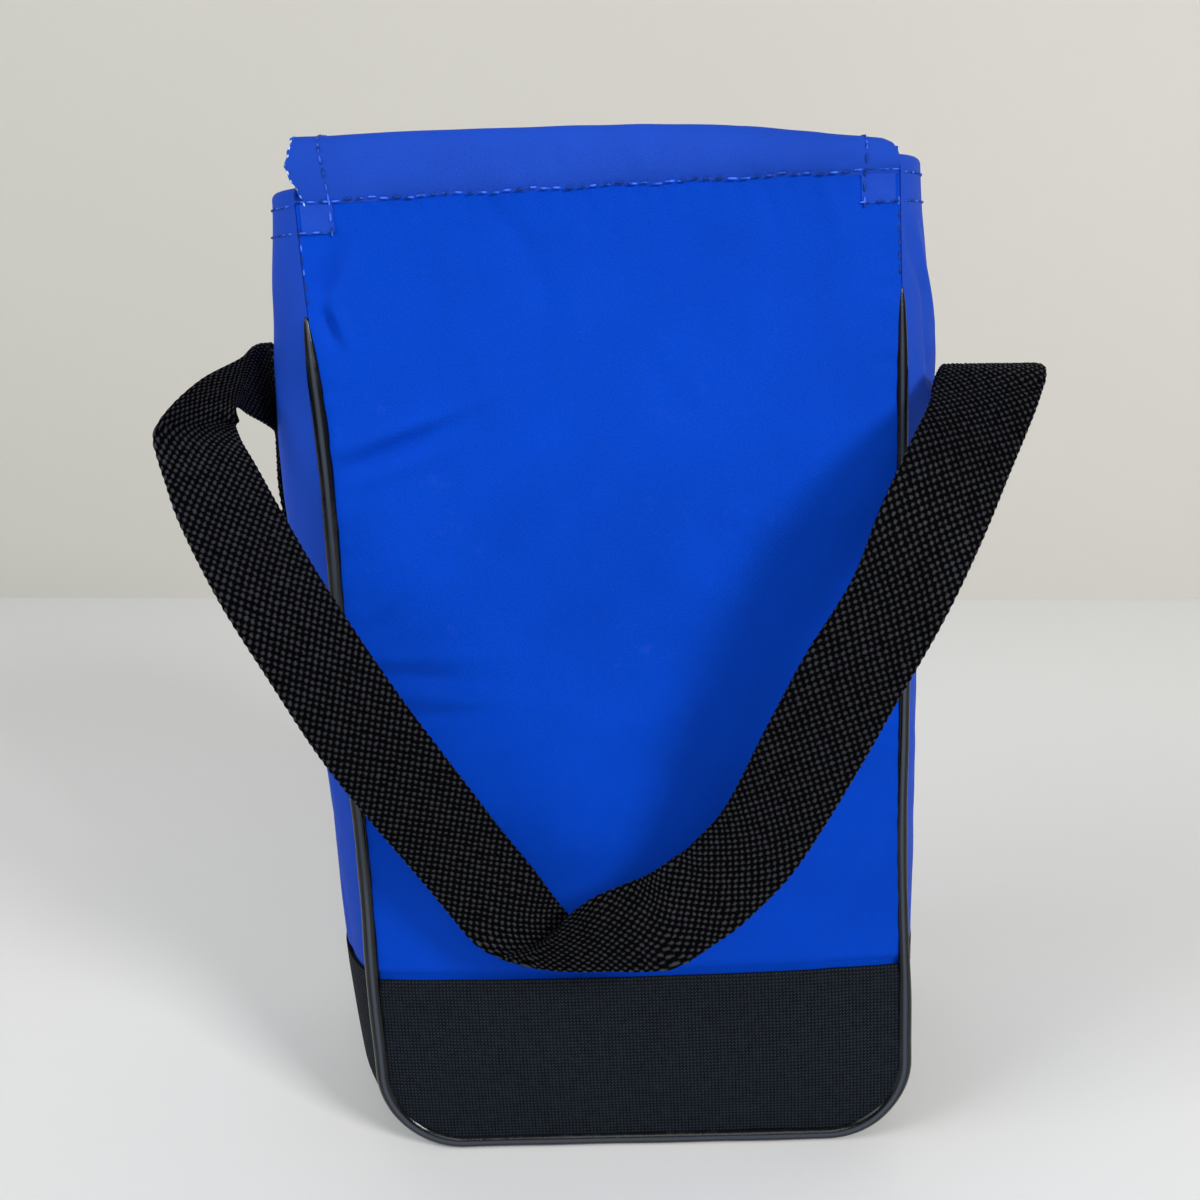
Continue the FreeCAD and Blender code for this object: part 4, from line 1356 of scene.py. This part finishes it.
def stitch_hems():
    """Every visible stitch row of the bag and its flap."""
    piece = stitches("hem_stitches", hem_rows(), "thread")
    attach(piece, "bag")

    for name, section, rows, over in (("rear", FLAP_RISER, flap_rear_rows, bend_rear),
                                      ("front", FLAP_FALL, flap_front_rows, bend_front)):
        grid, normals, _, _ = flap_grid(section)
        piece = stitches("flap_" + name + "_stitches", rows(grid + normals * 0.12 * MM), "thread")
        over(piece)

    grid, normals, _, _ = flap_grid(FLAP_RISER)
    edge = (grid + normals * 0.1 * MM)[:18, 0] + (0.25 * MM, 0, 0)
    piece = stitches("edge_overcast", [edge], "overcast", 1.1 * MM, 0.24 * MM, 2.1 * MM)
    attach(piece, "bag")


def finish_closure():
    """Hook and loop tapes, with moulded hooks standing on the hook tape."""
    wear(frame["nodes"]["loop_strip"], "loops")
    wear(frame["nodes"]["hook_strip"], "hooks")
    low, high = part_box("hook_strip")
    lean = (half_depth(low.z) - half_depth(high.z)) / (high.z - low.z)
    paths = []
    for z in np.arange(low.z + 1.5 * MM, high.z - 1 * MM, 1.6 * MM):
        x = np.array([low.x + 2 * MM, high.x - 2 * MM])
        y = low.y + (high.z - z) * lean - 0.02 * MM
        paths.append(np.stack([x, 0 * x + y, 0 * x + z], -1))
    piece = stitches("tape_hooks", paths, "hooks", 0.35 * MM, 0.3 * MM, 1.5 * MM, 7)
    finished(piece, "hook_tape", "flap_drop")


# ---------------------------------------------------------------- strap


def ribbon(rulings, spacing):
    """Middles and half-width directions of rulings spaced evenly along webbing."""
    s = bag()
    middles = np.array([row[0] for row in rulings], float) * MM
    ways = np.array([row[1] for row in rulings], float)
    ways = ways / np.linalg.norm(ways, axis=1, keepdims=True)
    ways = ways * np.array([[row[2]] for row in rulings]) * s.web_width / 2
    params = even_params(rulings, spacing, centre=middles)
    return catmull(middles, params), catmull(ways, params)


def box_run(side, end, start, stop):
    """Straight stitch run over a sewn strap end, between two places (along y, height)."""
    y, z = np.linspace(start[0], stop[0], 12), np.linspace(start[1], stop[1], 12)
    heights = [row[0][2] * MM for row in end[:4]]
    x = np.interp(z, heights, [row[0][0] * MM for row in end[:4]])
    return np.stack([x + side * (bag().web_thickness / 2 + 0.22 * MM), 3 * MM + y, z], -1)


def weave_strap():
    """One length of webbing, woven in relief, from one sewn end to the other."""
    s = bag()
    cell = s.web_width / WEB_CELLS
    rulings = STRAP_LEFT_END + STRAP_HANGING + STRAP_RIGHT_END
    middle, way = ribbon(rulings, cell * WEB_STRETCH / 2)
    tangent = np.gradient(middle, axis=0)
    tangent = tangent / np.linalg.norm(tangent, axis=1, keepdims=True)
    normal = np.cross(tangent, way)
    normal = normal / np.linalg.norm(normal, axis=1, keepdims=True)
    share = np.linspace(-1, 1, 2 * WEB_CELLS + 1)[None, :]
    run = distances(middle)
    along = run[:, None] + share * np.sum(way * tangent, 1)[:, None]
    across = (1 + share) * s.web_width / 2
    crossing = np.sin(math.pi * across / cell) * np.sin(math.pi * along / cell / WEB_STRETCH)
    top = s.web_thickness / 2 + np.where(crossing > 0, 0.32, -0.16) * MM * np.abs(crossing)
    under = s.web_thickness / 2 + np.where(crossing < 0, 0.32, -0.16) * MM * np.abs(crossing)
    selvage = 1 - 0.45 * np.abs(share) ** 24
    scallop = 1 + 0.011 * np.sin(2 * math.pi * along / (2 * cell)) * np.abs(share) ** 12
    flat = middle[:, None] + way[:, None] * (share * scallop)[..., None]
    outer = flat + normal[:, None] * (top * selvage)[..., None]
    inner = flat - normal[:, None] * (under * selvage)[..., None]
    uv = np.stack(np.broadcast_arrays(across, along), -1)
    strap = shell("webbing_strap", outer, inner, uv, finish("webbing"), uv + (cell, 0))
    strap.data.attributes.remove(strap.data.attributes["sharp_edge"])
    finished(strap, "webbing", None, "strap_end_left", "strap_end_right", "carry_strap")
    hinge, reach = HINGE["strap_swing"], Vector((0, 2.5 * MM, 0))
    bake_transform(strap)

    for side, name, end in ((LEFT, "left", STRAP_LEFT_END), (RIGHT, "right", STRAP_RIGHT_END[::-1])):
        reach, low, high = 9.6 * MM, 136 * MM, 168 * MM
        corners = [(-reach, low), (reach, low), (reach, high), (-reach, high), (-reach, low)]
        runs = list(zip(corners[:-1], corners[1:]))
        runs += [(corners[0], corners[2]), (corners[1], corners[3])]
        paths = [box_run(side, end, start, stop) for start, stop in runs]
        piece = stitches("strap_box_" + name, paths, "strap_thread", 2.2 * MM, 0.34 * MM, 2.8 * MM)
        finished(piece, "thread", "bag", "strap_stitching_" + name)


# ---------------------------------------------------------------- stage


def plain(name, colour, roughness):
    """Stage material with slight unevenness."""
    f = Finish(name)
    cloud = f.noise(3.0, 3.0)
    f.surface(
        Base_Color=f.mix(cloud, shade(colour, 0.985), shade(colour, 1.015)), Roughness=roughness,
        Specular_IOR_Level=0.25,
    )
    return f.material


def staged(name, corners, material):
    """Flat stage piece from its corners."""
    mesh = bpy.data.meshes.new(name)
    mesh.from_pydata(corners, [], [list(range(len(corners)))])
    mesh.materials.append(material)
    piece = linked(name, mesh)


def lamp(name, place, target, size, power, colour):
    """Square soft light aimed at a point."""
    data = bpy.data.lights.new(name, "AREA")
    data.shape, data.size = "SQUARE", size
    data.energy, data.color = power, colour
    light = linked(name, data)
    light.location = place
    light.rotation_euler = (Vector(target) - Vector(place)).to_track_quat("-Z", "Y").to_euler()


def set_stage():
    """Pale table and wall, soft light from the upper right, and the camera."""
    grey = plain("stage_table", (0.80, 0.805, 0.80), 0.42)
    warm = plain("stage_wall", (0.615, 0.598, 0.55), 0.85)
    staged("table", [(-3, -3, 0), (3, -3, 0), (3, 3, 0), (-3, 3, 0)], grey)
    foot_left, foot_right = Vector((-2.0, 0.911, 0)), Vector((2.0, 0.227, 0))
    rise = Vector((0, 0, 2.6))
    staged("wall", [foot_left, foot_right, foot_right + rise, foot_left + rise], warm)

    scene = bpy.context.scene
    scene.world = scene.world or bpy.data.worlds.new("World")
    scene.world.use_nodes = True
    sky = scene.world.node_tree.nodes["Background"]
    sky.inputs["Color"].default_value = (0.93, 0.96, 1.0, 1)
    sky.inputs["Strength"].default_value = 0.24
    lamp("key", (0.95, -1.0, 0.86), (0, 0, 0.14), 0.36, 15.5, (1.0, 0.99, 0.97))
    lamp("fill", (-1.25, -0.6, 1.15), (0, 0, 0.14), 1.0, 13.5, (0.97, 0.98, 1.0))
    lamp("front", (0.1, -1.6, 1.0), (0, 0, 0.14), 0.8, 7.0, (1.0, 1.0, 1.0))
    scene.view_settings.view_transform = "Standard"

    yaw, pitch, roll = math.radians(-2.36), math.radians(15.07), math.radians(-3.07)
    ahead = Vector((math.sin(yaw), math.cos(yaw), 0))
    over = Vector((math.cos(yaw), -math.sin(yaw), 0))
    up = Vector((0, 0, 1))
    look = ahead * math.cos(pitch) - up * math.sin(pitch)
    lift = up * math.cos(pitch) + ahead * math.sin(pitch)
    right = over * math.cos(roll) + lift * math.sin(roll)
    top = lift * math.cos(roll) - over * math.sin(roll)
    data = bpy.data.cameras.new("camera")
    data.lens, data.sensor_width = 36, 36
    camera = linked("camera", data)
    turn = Matrix((right, top, -look)).transposed().to_4x4()
    camera.matrix_world = Matrix.Translation((0.00765, -0.3484, 0.2476)) @ turn
    scene.camera = camera


# ---------------------------------------------------------------- operators


class LUNCHBAG_OT_panels(bpy.types.Operator):
    """Sew the back and front panels."""

    bl_idname = "lunch_bag.panels"
    bl_label = "Panels"

    def execute(self, context):
        sew_panels()
        return {"FINISHED"}


class LUNCHBAG_OT_gussets(bpy.types.Operator):
    """Sew the side gussets and the gusset under the bag."""

    bl_idname = "lunch_bag.gussets"
    bl_label = "Gussets"

    def execute(self, context):
        sew_gussets()
        return {"FINISHED"}


class LUNCHBAG_OT_padding(bpy.types.Operator):
    """Lay the foam and the base board."""

    bl_idname = "lunch_bag.padding"
    bl_label = "Padding"

    def execute(self, context):
        pack_padding()
        return {"FINISHED"}


class LUNCHBAG_OT_lining(bpy.types.Operator):
    """Hang the lining and bind its seams."""

    bl_idname = "lunch_bag.lining"
    bl_label = "Lining"

    def execute(self, context):
        hang_lining()
        return {"FINISHED"}


class LUNCHBAG_OT_piping(bpy.types.Operator):
    """Run the glossy piping round both panels."""

    bl_idname = "lunch_bag.piping"
    bl_label = "Piping"

    def execute(self, context):
        run_piping()
        return {"FINISHED"}


class LUNCHBAG_OT_flap(bpy.types.Operator):
    """Sew the padded flap over the mouth."""

    bl_idname = "lunch_bag.flap"
    bl_label = "Flap"

    def execute(self, context):
        sew_flap()
        return {"FINISHED"}


class LUNCHBAG_OT_closure(bpy.types.Operator):
    """Finish the hook and loop tapes."""

    bl_idname = "lunch_bag.closure"
    bl_label = "Closure"

    def execute(self, context):
        finish_closure()
        return {"FINISHED"}


class LUNCHBAG_OT_strap(bpy.types.Operator):
    """Weave the strap and sew it to the gussets."""

    bl_idname = "lunch_bag.strap"
    bl_label = "Strap"

    def execute(self, context):
        weave_strap()
        return {"FINISHED"}


class LUNCHBAG_OT_stitching(bpy.types.Operator):
    """Sew the hems and seams."""

    bl_idname = "lunch_bag.stitching"
    bl_label = "Stitching"

    def execute(self, context):
        stitch_hems()
        return {"FINISHED"}


class LUNCHBAG_OT_stage(bpy.types.Operator):
    """Set out the table, wall, lights and camera."""

    bl_idname = "lunch_bag.stage"
    bl_label = "Stage"

    def execute(self, context):
        set_stage()
        return {"FINISHED"}


OPERATORS = (
    LUNCHBAG_OT_panels,
    LUNCHBAG_OT_gussets,
    LUNCHBAG_OT_padding,
    LUNCHBAG_OT_lining,
    LUNCHBAG_OT_piping,
    LUNCHBAG_OT_flap,
    LUNCHBAG_OT_closure,
    LUNCHBAG_OT_strap,
    LUNCHBAG_OT_stitching,
    LUNCHBAG_OT_stage,
)


class LUNCHBAG_PT_sidebar(bpy.types.Panel):
    """Sizes, colours and steps of the lunch bag."""

    bl_label = "Lunch Bag"
    bl_idname = "LUNCHBAG_PT_sidebar"
    bl_space_type = "VIEW_3D"
    bl_region_type = "UI"
    bl_category = "Lunch Bag"

    def draw(self, context):
        for group in (context.scene.lunch_bag_sizes, context.scene.lunch_bag_colours):
            box = self.layout.box()
            for name in type(group).__annotations__:
                box.prop(group, name)
        for operator in OPERATORS:
            self.layout.operator(operator.bl_idname)


CLASSES = (BagSizes, BagColours, *OPERATORS, LUNCHBAG_PT_sidebar)


def register():
    """Make the sizes, colours, steps and sidebar known to Blender."""
    for item in CLASSES:
        bpy.utils.register_class(item)
    bpy.types.Scene.lunch_bag_sizes = bpy.props.PointerProperty(type=BagSizes)
    bpy.types.Scene.lunch_bag_colours = bpy.props.PointerProperty(type=BagColours)


def unregister():
    """Take them away again."""
    del bpy.types.Scene.lunch_bag_sizes
    del bpy.types.Scene.lunch_bag_colours
    for item in reversed(CLASSES):
        bpy.utils.unregister_class(item)


def main():
    """Run every step."""
    register()
    for operator in OPERATORS:
        group, name = operator.bl_idname.split(".")
        getattr(getattr(bpy.ops, group), name)()


if __name__ == "__main__":
    main()
